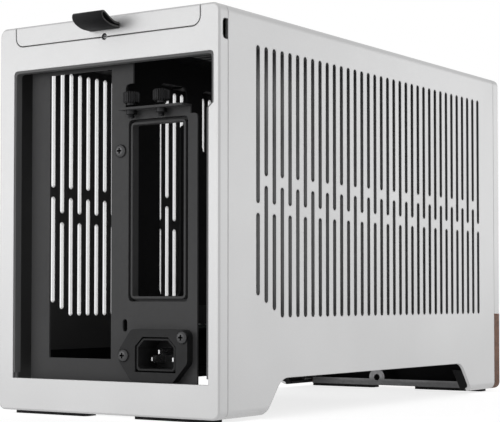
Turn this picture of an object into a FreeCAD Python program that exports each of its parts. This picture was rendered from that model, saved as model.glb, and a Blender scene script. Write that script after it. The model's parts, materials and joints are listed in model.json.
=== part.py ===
import FreeCAD, Part
import math
import os

from FreeCAD import Rotation, Vector

os.makedirs("parts", exist_ok=True)

# All sizes in millimetres. The front faces -Y, the rear faces +Y and the floor is z = 0.

# Shell
case_length = 343.0
case_width = 153.0
case_height = 218.0
foot_height = 2.0
skin = 2.0
edge_radius = 4.5
seam = 0.4
fit = 0.3
steel = 1.2
slide_gap = 0.2
screw_gap = 0.1

# What is small and repeats has few faces
flat_radius = 4.0
peg_sides = 6
head_sides = 8
knob_sides = 16

# Front panel and wooden strip
front_depth = 9.6
front_edge_radius = 2.5
wood_height = 52.0
wood_edge_radius = 2.0
bulkhead_depth = 6.6
boss_radius = 4.0
boss_side = 16.5
boss_end = 21.0

# Rear frame and its opening
rear_depth = 7.6
rear_edge = 0.8
border_left = 11.0
border_right = 7.0
border_right_upper = 3.8
border_top = 25.0
border_bottom = 18.0
border_step_drop = 54.5
border_step = 2.5
opening_radius = 2.0
foot_ledge = 17.0
foot_ledge_side = 9.5
finger_notch_depth = 4.7
finger_notch_height = 10.8
finger_notch_drop = 8.0
finger_notch_radius = 2.0

# Lid, pull tab and lock screw
lid_side = 12.5
lip_height = 11.0
lip_radius = 5.0
lip_gap = 0.55
tab_width = 20.5
tab_reach = 15.0
tab_rise = 3.7
tab_stack = 3.0
tab_low_bend = 6.5
tab_low_radius = 20.0
tab_high_bend = 4.5
tab_high_radius = 13.0
tab_tip_low = 3.4
tab_tip_high = 7.9
tab_tip_radius = 2.4
tab_crest_radius = 1.5
strap = 1.2
tab_bar_radius = 1.6
tab_bar_overhang = 1.8
lock_hole_radius = 1.8
lock_head_radius = 1.6
lock_head_height = 1.4
lock_shank_radius = 1.2

# Slots of the side panels and the lid
slot_width = 3.5
slot_pitch = 8.0
slot_end = 27.9
slot_front_end = 23.0
slot_top_drop = 18.0
slot_rise = 52.2
bridge = 5.3
bridge_low = 55.9
bridge_high = 70.8
slot_step = 4.0
stepped_slots = 3
lid_slot_side = 13.0

# Arch under each side panel
arch_height = 19.3
arch_inset_low = 35.5
arch_inset_high = 51.5
arch_radius = 13.0

# Fold-down hinges and snap studs
pin_radius = 1.25
pin_gap = 0.05
lug_wall = 0.9
lug_length = 10.0
lug_height = 10.0
lug_inset = 3.0
pin_overrun = 1.0
snap_inset = 40.0
snap_radius = 2.2
snap_gap = 0.5
snap_wall = 1.8
snap_socket_length = 4.0
snap_stud_length = 6.5
snap_taper = 0.7
lid_stud_inset = 4.0

# Feet
foot_side = 8.0
foot_length = 52.0
foot_width = 10.0
foot_recess = 5.4
foot_round = 2.0

# Steel chassis
ring_flange_depth = 4.5
lining_depth = 4.6
lining_recess = 0.4
lining_end = 3.0
ring_sill = 1.5
rail_height = 12.7
rail_inset = 2.3
rail_flange = 17.2
rail_foot = 12.2
bar_width = 24.0
tray_gap = 1.2
tray_side = 5.3
tray_flange = 12.0
tray_end_flange = 6.0
tray_short = 36.0
fan_opening_radius = 56.0
fan_spacing = 105.0
fan_hole_radius = 2.2
fan_from_bulkhead = 78.0
bracket_half_width = 30.0
bracket_drop = 8.3
bracket_foot = 18.0
bracket_setback = 6.0
bracket_flange = 6.0
front_rail_depth = 10.6
front_rail_height = 4.5
rail_tab_x = 12.6
rail_tab_radius = 6.2
rail_tab_hole = 2.45
rail_tab_rise = 1.2

# Power supply bracket
psu_from_rear = 205.0
psu_edge = 5.0
psu_hole_z = 113.0
psu_hole_radius = 1.9
psu_window_side = 5.75
psu_window_height = 100.0
psu_lift = 10.35
psu_inner = 8.0
psu_clear = 0.5
psu_foot = 14.0

# Sliding spine
spine_x = -2.0
spine_length = 190.0
spine_travel = 12.0
spine_flange = 16.0
spine_rear_flange = 6.5
spine_end_trim = 3.0
spine_window_y = 128.0
spine_window_z = 108.0
spine_window_length = 52.0
spine_window_height = 80.0
spine_window_radius = 3.5
cable_window_y = 46.0
cable_window_z = 64.0
cable_window_length = 20.0
cable_window_drop = 14.6
cable_window_reach = 26.0
cable_window_band = 22.0
vent_window_y = 87.0
vent_window_length = 13.0
vent_window_height = 37.0
lock_screw_x = 8.0
lock_top_from_rear = (40.0, 170.0)
lock_low_from_rear = (60.0, 170.0)

# Rear port plate
plate_recess = 9.0
plate_clear = 2.7
plate_clear_right = 6.4
plate_overlap = 4.0
plate_top_drop = 0.4
io_width = 44.45
io_top_drop = 27.75
io_from_spine = 3.9
io_rise = 29.5
card_bottom = 60.9
card_top_drop = 56.5
card_from_spine = 8.0
card_right_margin = 6.1
card_radius = 2.2
bead_width = 1.6
bead_depth = 4.0
ledge_rise = 4.7
ledge_reach = 7.5
ledge_side = 1.5
relief_from_spine = 5.8
relief_step = 5.3
relief_height = 14.0
relief_radius = 2.5
column_drop = 4.9
column_step = 3.6
security_slot_width = 3.2
security_slot_height = 7.0
security_slot_x = 5.8
security_slot_rise = 48.0

# Card thumbscrews
thumb_x = 12.2
thumb_pitch = 20.32
thumb_recess = 6.0
thumb_radius = 4.7
thumb_height = 6.2
thumb_lift = 2.6
thumb_shank = 1.75
thumb_tail = 5.5
thumb_chamfer = 0.6

# Motherboard standoffs on the board's hole pattern
board_gap = 1.6
board_edge = 10.16
board_pitch_y = 154.94
board_row_inset = 0.635
board_offset = 22.86
standoff_height = 6.35
standoff_radius = 2.75
standoff_hole = 1.4
standoff_sides = 6

# Card riser
riser_from_rear = 40.0
riser_length = 110.0
riser_rise = 46.0
riser_shelf = 20.0
riser_skirt = 12.0
riser_board_margin = 2.5
riser_board_thickness = 1.6
socket_length = 89.0
socket_width = 7.5
socket_height = 11.0
socket_groove = 1.8
socket_groove_depth = 8.0

# Power inlet, placed from the plate's right edge
inlet_right = 2.9
inlet_from_spine = 5.4
inlet_centre_share = 0.4607
inlet_rise = 32.7
inlet_flange = 5.0
inlet_up = 13.5
inlet_down = 14.5
inlet_shoulder = 8.5
inlet_foot_cut = 9.5
inlet_right_down = 4.1
inlet_corner = 4.0
inlet_ear_round = 7.5
socket_x = 27.1
socket_z = 18.8
socket_chamfer = 5.0
socket_depth = 17.0
socket_wall = 1.6
blade_thick = 2.0
blade_tall = 4.0
blade_pitch = 14.0
blade_drop = 2.6
blade_earth_rise = 1.5
blade_length = 10.5
blade_earth_extra = 3.0
ear_left_x = 3.4
ear_left_drop = 0.8
ear_right_x = 3.3
ear_right_rise = 9.4

# Small screws
head_radius = 2.8
head_height = 1.6
shank_radius = 1.4
shank_length = 3.6
plate_head_radius = 3.5
plate_screw_x = 2.6
plate_screw_rise = 142.9
plate_screw_drop = 3.7

# Front controls
port_rise = 32.5
button_x = -34.0
button_radius = 6.0
button_gap = 0.3
button_recess = 0.2
button_lip = 1.2
button_lip_thick = 0.8
button_seat = 3.4
button_travel = 1.1
button_stem_radius = 2.0
button_stem_length = 5.8
switch_size = 6.0
usb_a_x = (13.0, 35.0)
usb_a_width = 13.1
usb_a_height = 5.7
usb_c_x = -9.0
usb_c_width = 8.94
usb_c_height = 3.26
usb_wall = 0.5
usb_length = 14.0
usb_recess = 0.6
usb_gap = 0.3
usb_corner_share = 0.3
tongue_thick = 1.8
tongue_c_thick = 0.7
tongue_trim = 2.0
tongue_recess = 1.5
io_board_thickness = 1.6
io_board_start = 8.0
io_board_length = 22.0
io_board_half = 44.0

# Places worked out from the sizes above
y_front = -(case_length + tab_reach) / 2
y_rear = y_front + case_length
half_width = case_width / 2
base = foot_height
inner_half = half_width - skin
inner_top = case_height - skin
panel_front = y_front + front_depth + seam
panel_rear = y_rear - rear_depth - seam
lid_half = half_width - lid_side
lip_bottom = case_height - lip_height
hinge_x = half_width - edge_radius
hinge_z = base + edge_radius
steel_half = inner_half - fit
steel_top = inner_top - fit
steel_bottom = base + skin + fit
bulkhead_back = y_front + bulkhead_depth
bulkhead_front = bulkhead_back - steel
wood_top = base + wood_height
ring_back = y_rear - skin
ring_front = ring_back - steel
rail_x = half_width - skin - rail_inset
rail_bottom = steel_top - rail_height
bar_bottom = rail_bottom - steel
tray_bottom = base + arch_height + tray_gap
tray_top = tray_bottom + steel
tray_half = half_width - tray_side
tray_rear = y_rear - tray_short
psu_outer = tray_half - steel - psu_clear
spine_top = bar_bottom - slide_gap
spine_bottom = tray_top + slide_gap
spine_back = spine_x - steel
plate_out = y_rear - plate_recess
plate_in = plate_out - steel
spine_front = y_rear - spine_length
plate_left = inner_half - spine_travel - plate_clear
plate_right = -(inner_half - spine_travel - plate_clear_right)
plate_low = base + border_bottom - plate_overlap
plate_top = spine_top - plate_top_drop
card_left = spine_x - card_from_spine
card_right = plate_right + card_right_margin
card_low = base + card_bottom
card_top = case_height - card_top_drop
ledge_top = card_top + ledge_rise + steel
snap_z = (rail_bottom + steel_top) / 2
snap_y = (panel_front + snap_inset, panel_rear - snap_inset)
socket_radius = snap_radius + snap_gap + snap_wall
io_low = base + io_rise
io_top = case_height - io_top_drop
inlet_near = plate_right + inlet_right
inlet_far = spine_x - inlet_from_spine
port_z = base + port_rise
io_board_top = port_z - usb_a_height / 2


def across(y):
    return lambda u, v: Vector(u, y, v)


def beside(x):
    return lambda u, v: Vector(x, u, v)


def above(z):
    return lambda u, v: Vector(u, v, z)


def rounded(before, corner, after):
    # start, middle and end of the arc that rounds one corner of an outline
    point = Vector(corner[0], corner[1], 0)
    radius = corner[2]
    if radius == 0:
        return point, point, point
    back = (Vector(before[0], before[1], 0) - point).normalize()
    ahead = (Vector(after[0], after[1], 0) - point).normalize()
    half = back.getAngle(ahead) / 2
    reach = radius / math.tan(half)
    middle = (back + ahead).normalize() * (radius / math.sin(half) - radius)
    return point + back * reach, point + middle, point + ahead * reach


def outline(corners, place):
    # closed wire through corners given as (u, v, radius), small ones cut in two flats
    count = len(corners)
    arcs = [rounded(corners[i - 1], corners[i], corners[(i + 1) % count]) for i in range(count)]
    edges = []
    for i, (start, middle, end) in enumerate(arcs):
        if (end - start).Length > 1e-6:
            points = [place(point.x, point.y) for point in (start, middle, end)]
            if corners[i][2] < flat_radius:
                edges += [Part.makeLine(points[0], points[1]), Part.makeLine(points[1], points[2])]
            else:
                edges.append(Part.Arc(*points).toShape())
        following = arcs[(i + 1) % count][0]
        if (following - end).Length > 1e-6:
            edges.append(Part.makeLine(place(end.x, end.y), place(following.x, following.y)))
    return Part.Wire(edges)


def slab(corners, place, travel):
    return Part.Face(outline(corners, place)).extrude(travel)


def rect(u0, u1, v0, v1, radius=0):
    return [(u0, v0, radius), (u1, v0, radius), (u1, v1, radius), (u0, v1, radius)]


def block(x0, x1, y0, y1, z0, z1):
    return Part.makeBox(x1 - x0, y1 - y0, z1 - z0, Vector(x0, y0, z0))


def rod(radius, start, end):
    return Part.makeCylinder(radius, (end - start).Length, start, end - start)


def peg(radius, start, end, sides=peg_sides):
    # prism that stands for a small round pin or hole along one of the axes
    way = end - start
    spoke = Vector(way.y, way.z, way.x).normalize() * radius
    points = [start + Rotation(way, 360 * i / sides).multVec(spoke) for i in range(sides)]
    return Part.Face(Part.makePolygon(points + points[:1])).extrude(way)


def join(first, *others):
    return first.fuse(list(others)).removeSplitter()


def mirrored(shape):
    return shape.mirror(Vector(0, 0, 0), Vector(1, 0, 0))


def both_sides(shape):
    return [shape, mirrored(shape)]


def group(solids):
    return Part.makeCompound(solids)


def screw(seat, way, radius=head_radius, length=shank_length):
    # pan head standing out of the seat along way, with its shank sunk the other way
    head = peg(radius, seat, seat + way * head_height, head_sides)
    return join(head, peg(shank_radius, seat, seat - way * length))


def screw_hole(seat, way, length):
    return peg(shank_radius + screw_gap, seat + way * length, seat - way * length)


def edges_at(shape, test):
    return [edge for edge in shape.Edges if test(edge.CenterOfMass)]


def slot_rows():
    # y of each slot from the rear forwards, with its lower end and its bridge
    first = panel_rear - slot_end
    count = int((first - panel_front - slot_front_end) / slot_pitch) + 1
    for i in range(count):
        low = base + slot_rise + slot_step * max(0, stepped_slots - i)
        gap = base + slot_rise + (bridge_low if i % 2 == 0 else bridge_high)
        yield first - i * slot_pitch, low, gap


def side_panel():
    # folded sheet on the -X side: wall, rolled edges and top flange
    wall = -half_width
    inside = wall + skin
    turn = edge_radius - skin
    fold = [
        (-lid_half - seam, case_height, 0),
        (wall, case_height, edge_radius),
        (wall, base, edge_radius),
        (-hinge_x, base, 0),
        (-hinge_x, base + skin, 0),
        (inside, base + skin, turn),
        (inside, inner_top, turn),
        (-lid_half - seam, inner_top, 0),
    ]
    sheet = slab(fold, across(panel_front), Vector(0, panel_rear - panel_front, 0))
    half_slot = slot_width / 2
    top = case_height - slot_top_drop
    cuts = []
    for y, low, gap in slot_rows():
        for z0, z1 in ((low, gap), (gap + bridge, top)):
            cuts.append(block(wall - skin, inside + skin, y - half_slot, y + half_slot, z0, z1))
    slope = (arch_inset_high - arch_inset_low) / arch_height
    below = arch_inset_low - slope * skin
    arch_top = base + arch_height
    arch = [
        (panel_front + below, base - skin, 0),
        (panel_rear - below, base - skin, 0),
        (panel_rear - arch_inset_high, arch_top, arch_radius),
        (panel_front + arch_inset_high, arch_top, arch_radius),
    ]
    cuts.append(slab(arch, beside(wall - skin), Vector(lid_side, 0, 0)))
    return sheet.cut(group(cuts))


def hinge_lugs():
    # two knuckles on the panel's legs, bored for the fixed pins
    reach = pin_radius + pin_gap + lug_wall
    solids = []
    for start in (panel_front + lug_inset, panel_rear - lug_inset - lug_length):
        end = start + lug_length
        body = block(-inner_half, -hinge_x + reach, start, end, hinge_z, hinge_z + lug_height)
        centre = Vector(-hinge_x, start, hinge_z)
        knuckle = peg(reach, centre, centre + Vector(0, lug_length, 0), knob_sides)
        bore = rod(pin_radius + pin_gap, centre, centre + Vector(0, lug_length, 0))
        solids.append(join(body, knuckle).cut(bore))
    return solids


def hinge_pins():
    front_end = panel_front + lug_inset + lug_length + pin_overrun
    rear_end = panel_rear - lug_inset - lug_length - pin_overrun
    spans = ((bulkhead_back, front_end), (rear_end, ring_front))
    solids = []
    for start, end in spans:
        pin = rod(pin_radius, Vector(-hinge_x, start, hinge_z), Vector(-hinge_x, end, hinge_z))
        solids += both_sides(pin)
    return group(solids)


def snap_stud(seat, way):
    # stud with a tapered tip
    end = seat + way * snap_stud_length
    stud = peg(snap_radius, seat, end)
    tip = edges_at(stud, lambda c: abs((c - end).dot(way)) < 1e-6)
    return stud.makeChamfer(snap_taper, tip)


def snap_socket(seat, way):
    outer = peg(socket_radius, seat, seat + way * snap_socket_length)
    return outer.cut(peg(snap_radius + snap_gap, seat, seat + way * snap_socket_length))


def side_studs():
    return [snap_stud(Vector(-inner_half, y, snap_z), Vector(1, 0, 0)) for y in snap_y]


def lid_stud_x():
    return lid_half - lid_stud_inset


def top_studs():
    solids = []
    for y in snap_y:
        solids += both_sides(snap_stud(Vector(-lid_stud_x(), y, inner_top), Vector(0, 0, -1)))
    return group(solids)


def snap_sockets():
    solids = []
    for y in snap_y:
        solids += both_sides(snap_socket(Vector(-rail_x + steel, y, snap_z), Vector(1, 0, 0)))
        solids += both_sides(snap_socket(Vector(-lid_stud_x(), y, steel_top - steel), Vector(0, 0, -1)))
    return group(solids)


def top_panel():
    plate = block(-lid_half, lid_half, panel_front, y_rear, inner_top, case_height)
    lip_form = [
        (-lid_half, case_height, 0),
        (-lid_half, lip_bottom, lip_radius),
        (lid_half, lip_bottom, lip_radius),
        (lid_half, case_height, 0),
    ]
    lip = slab(lip_form, across(ring_back), Vector(0, skin, 0))
    lid = join(plate, lip)
    brow = edges_at(lid, lambda c: abs(c.y - y_rear) < 1e-6 and abs(c.z - case_height) < 1e-6)
    lid = lid.makeChamfer(rear_edge, brow)
    half_slot = slot_width / 2
    reach = lid_half - lid_slot_side
    cuts = []
    for y, low, gap in slot_rows():
        cuts.append(block(-reach, reach, y - half_slot, y + half_slot, inner_top - skin, case_height + skin))
    half_tab = tab_width / 2 + screw_gap
    slit_low = lip_bottom + tab_rise - screw_gap
    slit_high = slit_low + tab_stack + 2 * screw_gap
    cuts.append(block(-half_tab, half_tab, ring_back - skin, y_rear + skin, slit_low, slit_high))
    cuts.append(lock_hole())
    return lid.cut(group(cuts))


def lock_hole():
    start = Vector(0, ring_back, lip_bottom)
    return peg(lock_hole_radius, start, start + Vector(0, 2 * skin, 0), knob_sides)


def tab_loop_centre():
    radius = tab_bar_radius + pin_gap + strap
    return Vector(-tab_width / 2, ring_back - screw_gap - radius, lip_bottom + tab_rise + tab_stack / 2)


def tab_profile(inset):
    # teardrop of the folded strap, drawn in the plane of the case's side
    low = lip_bottom + tab_rise
    high = low + tab_stack
    end = y_rear + tab_reach
    inner = tab_loop_centre().y
    low_slope = tab_tip_low / (tab_reach - tab_low_bend)
    high_slope = (tab_tip_high - tab_stack) / (tab_reach - tab_high_bend)
    tip_low = low + tab_tip_low + inset * (math.hypot(1, low_slope) - low_slope)
    tip_high = low + tab_tip_high - inset * (math.hypot(1, high_slope) + high_slope)
    return [
        (inner, low + inset, 0),
        (y_rear + tab_low_bend, low + inset, tab_low_radius),
        (end - inset, tip_low, tab_tip_radius - inset),
        (end - inset, tip_high, tab_crest_radius - inset),
        (y_rear + tab_high_bend, high - inset, tab_high_radius),
        (inner, high - inset, 0),
    ]


def pull_tab():
    centre = tab_loop_centre()
    width = Vector(tab_width, 0, 0)
    place = beside(centre.x)
    loop = peg(tab_bar_radius + pin_gap + strap, centre, centre + width, knob_sides)
    body = join(slab(tab_profile(0), place, width), loop)
    hollow = slab(tab_profile(strap), place, width)
    return body.cut(hollow).cut(peg(tab_bar_radius + pin_gap, centre, centre + width, knob_sides))


def tab_bar():
    centre = tab_loop_centre()
    side = Vector(tab_bar_overhang, 0, 0)
    return peg(tab_bar_radius, centre - side, centre + Vector(tab_width, 0, 0) + side, knob_sides)


def opening_corners(inset, low):
    # rear opening, wider above the step on the -X side
    left = half_width - border_left - inset
    right = -(half_width - border_right - inset)
    wide = -(half_width - border_right_upper - inset)
    top = case_height - border_top - inset
    step = case_height - border_step_drop
    return [
        (left, low, 0),
        (left, top, opening_radius),
        (wide, top, opening_radius),
        (wide, step + border_step, 0),
        (right, step, 0),
        (right, low, 0),
    ]


def rear_frame():
    front = y_rear - rear_depth
    outer = rect(-half_width, half_width, base, case_height, edge_radius)
    frame = slab(outer, across(front), Vector(0, rear_depth, 0))
    rim = edges_at(frame, lambda c: abs(c.y - y_rear) < 1e-6)
    frame = frame.makeChamfer(rear_edge, rim)
    cavity = rect(-inner_half, inner_half, base + skin, inner_top, edge_radius - skin)
    lid_corner = lip_radius + lip_gap
    lid_side_x = lid_half + lip_gap
    lid_low = lip_bottom - lip_gap
    lid_room = [
        (-lid_side_x, case_height + skin, 0),
        (-lid_side_x, lid_low, lid_corner),
        (lid_side_x, lid_low, lid_corner),
        (lid_side_x, case_height + skin, 0),
    ]
    notch_top = case_height - finger_notch_drop
    notch_low = notch_top - finger_notch_height
    notch_end = front + finger_notch_depth
    notch = [
        (front - skin, notch_low, 0),
        (notch_end, notch_low, finger_notch_radius),
        (notch_end, notch_top, finger_notch_radius),
        (front - skin, notch_top, 0),
    ]
    cuts = [
        slab(cavity, across(front), Vector(0, rear_depth - skin, 0)),
        slab(opening_corners(0, base + border_bottom), across(front), Vector(0, 2 * rear_depth, 0)),
        slab(lid_room, across(front - skin), Vector(0, rear_depth + 2 * skin, 0)),
        slab(notch, beside(-case_width), Vector(2 * case_width, 0, 0)),
        lock_hole(),
    ]
    ledge_half = half_width - foot_ledge_side
    ledge = block(-ledge_half, ledge_half, y_rear - foot_ledge, ring_back, base, base + skin)
    return join(frame.cut(group(cuts)), ledge)


def front_panel():
    low = wood_top + fit
    form = [
        (-half_width, low, 0),
        (half_width, low, 0),
        (half_width, case_height, edge_radius),
        (-half_width, case_height, edge_radius),
    ]
    panel = slab(form, across(y_front), Vector(0, front_depth, 0))
    rim = edges_at(panel, lambda c: abs(c.y - y_front) < 1e-6 and c.z > low + 1e-6)
    panel = panel.makeFillet(front_edge_radius, rim)
    cavity = [
        (-inner_half, low - skin, 0),
        (inner_half, low - skin, 0),
        (inner_half, inner_top, edge_radius - skin),
        (-inner_half, inner_top, edge_radius - skin),
    ]
    panel = panel.cut(slab(cavity, across(y_front + skin), Vector(0, front_depth, 0)))
    bosses = []
    for seat in boss_seats():
        bosses.append(peg(boss_radius, Vector(seat.x, y_front + skin, seat.z), seat, head_sides))
    return join(panel, *bosses)


def boss_seats():
    side = half_width - boss_side
    heights = (wood_top + boss_end, case_height - boss_end)
    return [Vector(x, bulkhead_front, z) for x in (-side, side) for z in heights]


def port_cut(x, z, width, height, gap):
    half = width / 2 + gap
    tall = height / 2 + gap
    form = rect(x - half, x + half, z - tall, z + tall, tall * usb_corner_share)
    return slab(form, across(y_front - skin), Vector(0, 2 * front_depth, 0))


def port_cuts():
    cuts = [port_cut(x, port_z, usb_a_width, usb_a_height, usb_gap) for x in usb_a_x]
    cuts.append(port_cut(usb_c_x, io_board_top + usb_c_height / 2, usb_c_width, usb_c_height, usb_gap))
    return cuts


def wood_front_strip():
    form = [
        (-half_width, base, edge_radius),
        (half_width, base, edge_radius),
        (half_width, wood_top, 0),
        (-half_width, wood_top, 0),
    ]
    strip = slab(form, across(y_front), Vector(0, front_depth, 0))
    rim = edges_at(strip, lambda c: abs(c.y - y_front) < 1e-6 and c.z < wood_top - 1e-6)
    strip = strip.makeFillet(wood_edge_radius, rim)
    pocket = block(-inner_half, inner_half, bulkhead_front, y_front + 2 * front_depth,
                   base + skin, case_height)
    centre = Vector(button_x, y_front - skin, port_z)
    seat = Vector(button_x, y_front + button_seat, port_z)
    bore = rod(button_radius + button_gap, centre, seat)
    room = peg(button_radius + button_lip + fit, seat, seat + Vector(0, front_depth, 0), head_sides)
    return strip.cut(group([pocket, bore, room] + port_cuts()))


def power_button():
    front = Vector(button_x, y_front + button_recess, port_z)
    seat = Vector(button_x, y_front + button_seat, port_z)
    lip_end = seat + Vector(0, button_lip_thick, 0)
    cap = rod(button_radius, front, seat)
    lip = peg(button_radius + button_lip, seat, lip_end, head_sides)
    stem = peg(button_stem_radius, lip_end, lip_end + Vector(0, button_stem_length, 0))
    return join(cap, lip, stem)


def power_switch():
    stem_end = y_front + button_seat + button_lip_thick + button_stem_length
    start = stem_end + button_travel + fit
    half = switch_size / 2
    return block(button_x - half, button_x + half, start, start + switch_size, io_board_top, port_z + half)


def usb_shell(x, z, width, height):
    start = y_front + usb_recess
    half = width / 2
    tall = height / 2
    outside = rect(x - half, x + half, z - tall, z + tall, tall * usb_corner_share)
    shell = slab(outside, across(start), Vector(0, usb_length, 0))
    inside = rect(x - half + usb_wall, x + half - usb_wall, z - tall + usb_wall, z + tall - usb_wall)
    return shell.cut(slab(inside, across(start), Vector(0, usb_length - usb_wall, 0)))


def usb_tongue(x, z, width, thick):
    start = y_front + usb_recess + tongue_recess
    end = y_front + usb_recess + usb_length - usb_wall
    half = width / 2 - usb_wall - tongue_trim / 2
    return block(x - half, x + half, start, end, z, z + thick)


def front_io_board():
    start = y_front + io_board_start
    return block(-io_board_half, io_board_half, start, start + io_board_length,
                 io_board_top - io_board_thickness, io_board_top)


def front_io_bracket():
    start = y_front + io_board_start + fit
    end = start + io_board_length
    high = io_board_top - io_board_thickness
    outer = block(-io_board_half, io_board_half, start, end, tray_top, high)
    span = io_board_half - steel
    return outer.cut(block(-span, span, start, end, tray_top, high - steel))


def front_chassis():
    plate = rect(-steel_half, steel_half, steel_bottom, steel_top, edge_radius - skin - fit)
    wall = slab(plate, across(bulkhead_front), Vector(0, steel, 0))
    cuts = port_cuts()
    way = Vector(0, 1, 0)
    stem = Vector(button_x, bulkhead_front, port_z)
    cuts.append(peg(button_stem_radius + fit, stem, stem + way * steel))
    wall = wall.cut(group(cuts))
    side = half_width - foot_ledge_side
    back = bulkhead_back + front_rail_depth
    start = y_front + front_depth
    floor = block(-side, side, start, back, base, base + steel)
    riser = block(-side, side, start, start + steel, base, steel_bottom + steel)
    weld = block(-side, side, bulkhead_back, start, steel_bottom, steel_bottom + steel)
    lip = block(-side, side, back - steel, back, base, base + front_rail_height)
    eye_z = base + front_rail_height + rail_tab_rise
    eye = Vector(rail_tab_x, back - steel, eye_z)
    disc = rod(rail_tab_radius, eye, eye + way * steel)
    disc = disc.common(block(-side, side, back - steel, back, base, eye_z + rail_tab_radius))
    rail = join(wall, weld, riser, floor, lip, disc)
    return rail.cut(peg(rail_tab_hole, eye, eye + way * steel, head_sides))


def rear_chassis():
    low = base + border_bottom
    lined = screw_gap + steel
    plate = rect(-steel_half, steel_half, steel_bottom, steel_top, edge_radius - skin - fit)
    ring = slab(plate, across(ring_front), Vector(0, steel, 0))
    ring = ring.cut(slab(opening_corners(lined, low - ring_sill), across(ring_front), Vector(0, steel, 0)))
    back = y_rear - lining_recess
    span = Vector(0, lining_depth, 0)
    lining = slab(opening_corners(screw_gap, low), across(back - lining_depth), span)
    lining = lining.cut(slab(opening_corners(lined, low - skin), across(back - lining_depth), span))
    lining = lining.cut(block(-half_width, half_width, back - lining_depth, back, 0, low + lining_end))
    flange = block(-steel_half, -steel_half + steel, ring_front - ring_flange_depth, ring_front,
                   low, case_height - border_top + lining_end)
    ring = join(ring, lining, *both_sides(flange))
    tab_half = tab_width / 2 + tab_bar_overhang + 2 * fit
    room_low = tab_loop_centre().z - tab_bar_radius - strap - fit
    room = block(-tab_half, tab_half, ring_front, ring_back, room_low, case_height)
    screw_axis = Vector(0, ring_front, lip_bottom)
    bore = peg(lock_shank_radius + pin_gap, screw_axis, screw_axis + Vector(0, steel, 0))
    return ring.cut(group([room, bore]))


def top_lock_screw():
    seat = Vector(0, ring_back, lip_bottom)
    head = peg(lock_head_radius, seat, seat + Vector(0, lock_head_height, 0), head_sides)
    return join(head, peg(lock_shank_radius, seat, seat - Vector(0, 2 * steel, 0)))


def top_rail():
    # channel along the -X side, with holes for the snap studs
    inner = -rail_x + rail_flange
    foot = -rail_x + rail_foot
    web = -rail_x + steel
    form = [
        (inner, steel_top, 0),
        (-rail_x, steel_top, 0),
        (-rail_x, rail_bottom, 0),
        (foot, rail_bottom, 0),
        (foot, rail_bottom + steel, 0),
        (web, rail_bottom + steel, 0),
        (web, steel_top - steel, 0),
        (inner, steel_top - steel, 0),
    ]
    rail = slab(form, across(bulkhead_back), Vector(0, ring_front - bulkhead_back, 0))
    radius = snap_radius + snap_gap
    cuts = []
    for y in snap_y:
        cuts.append(peg(radius, Vector(-rail_x, y, snap_z), Vector(web, y, snap_z)))
        down = Vector(-lid_stud_x(), y, steel_top)
        cuts.append(peg(radius, down, down - Vector(0, 0, steel)))
    return rail.cut(group(cuts))


def lock_slot(y, low):
    # slot that lets a spine screw travel with the spine
    radius = shank_radius + screw_gap
    centre = spine_x - lock_screw_x
    half = spine_travel + radius + fit
    form = rect(centre - half, centre + half, y - radius, y + radius, radius)
    return slab(form, above(low), Vector(0, 0, steel))


def cross_bar(from_rear):
    y = y_rear - from_rear
    bar = block(-rail_x, rail_x, y - bar_width / 2, y + bar_width / 2, bar_bottom, rail_bottom)
    return bar.cut(lock_slot(y, bar_bottom))


def fan_centre():
    return Vector(0, bulkhead_back + fan_from_bulkhead, tray_bottom)


def bottom_tray():
    floor = block(-tray_half, tray_half, bulkhead_back, tray_rear, tray_bottom, tray_top)
    side = block(-tray_half, -tray_half + steel, bulkhead_back, tray_rear,
                 tray_bottom, tray_bottom + tray_flange)
    end = block(-tray_half, tray_half, bulkhead_back, bulkhead_back + steel,
                tray_bottom, tray_bottom + tray_end_flange)
    tray = join(floor, end, *both_sides(side))
    centre = fan_centre()
    up = Vector(0, 0, steel)
    cuts = [rod(fan_opening_radius, centre, centre + up)]
    half = fan_spacing / 2
    for x in (-half, half):
        for y in (-half, half):
            hole = centre + Vector(x, y, 0)
            cuts.append(rod(fan_hole_radius, hole, hole + up))
    cuts += [lock_slot(y_rear - from_rear, tray_bottom) for from_rear in lock_low_from_rear]
    return tray.cut(group(cuts))


def tray_bracket():
    # stepped bracket from the tray down and back to the rear ring, under the port plate
    half = bracket_half_width
    shelf_top = tray_bottom - bracket_drop
    shelf_low = shelf_top - steel
    riser = tray_rear - bracket_setback
    form = [
        (ring_front, shelf_top, 0),
        (riser + steel, shelf_top, 0),
        (riser + steel, tray_bottom, 0),
        (riser - bracket_foot, tray_bottom, 0),
        (riser - bracket_foot, tray_bottom - steel, 0),
        (riser, tray_bottom - steel, 0),
        (riser, shelf_low, 0),
        (ring_front - steel, shelf_low, 0),
        (ring_front - steel, shelf_low - bracket_flange, 0),
        (ring_front, shelf_low - bracket_flange, 0),
    ]
    return slab(form, beside(-half), Vector(2 * half, 0, 0))


def psu_bracket():
    front = y_rear - psu_from_rear
    back = front + steel
    wall = block(psu_inner, psu_outer, front, back, tray_top, rail_bottom)
    foot = block(psu_inner, psu_outer, front - psu_foot, back, tray_top, tray_top + steel)
    hook = block(rail_x - rail_foot, psu_outer, front - psu_foot, back, rail_bottom - steel, rail_bottom)
    x = (psu_inner + psu_outer) / 2
    z = (tray_top + rail_bottom) / 2 + psu_lift
    hole_x = (psu_outer - psu_inner) / 2 - psu_edge
    half_w = hole_x - psu_window_side
    half_h = psu_window_height / 2
    window = rect(x - half_w, x + half_w, z - half_h, z + half_h, spine_window_radius)
    cuts = [slab(window, across(front), Vector(0, steel, 0))]
    for dx in (-hole_x, hole_x):
        for dz in (-psu_hole_z / 2, psu_hole_z / 2):
            hole = Vector(x + dx, front, z + dz)
            cuts.append(rod(psu_hole_radius, hole, hole + Vector(0, steel, 0)))
    return join(wall, foot, hook).cut(group(cuts))


def foot_strip(start):
    outer = half_width - foot_side
    form = rect(-outer, -outer + foot_length, start, start + foot_width, foot_round)
    return slab(form, above(0), Vector(0, 0, foot_height))


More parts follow.
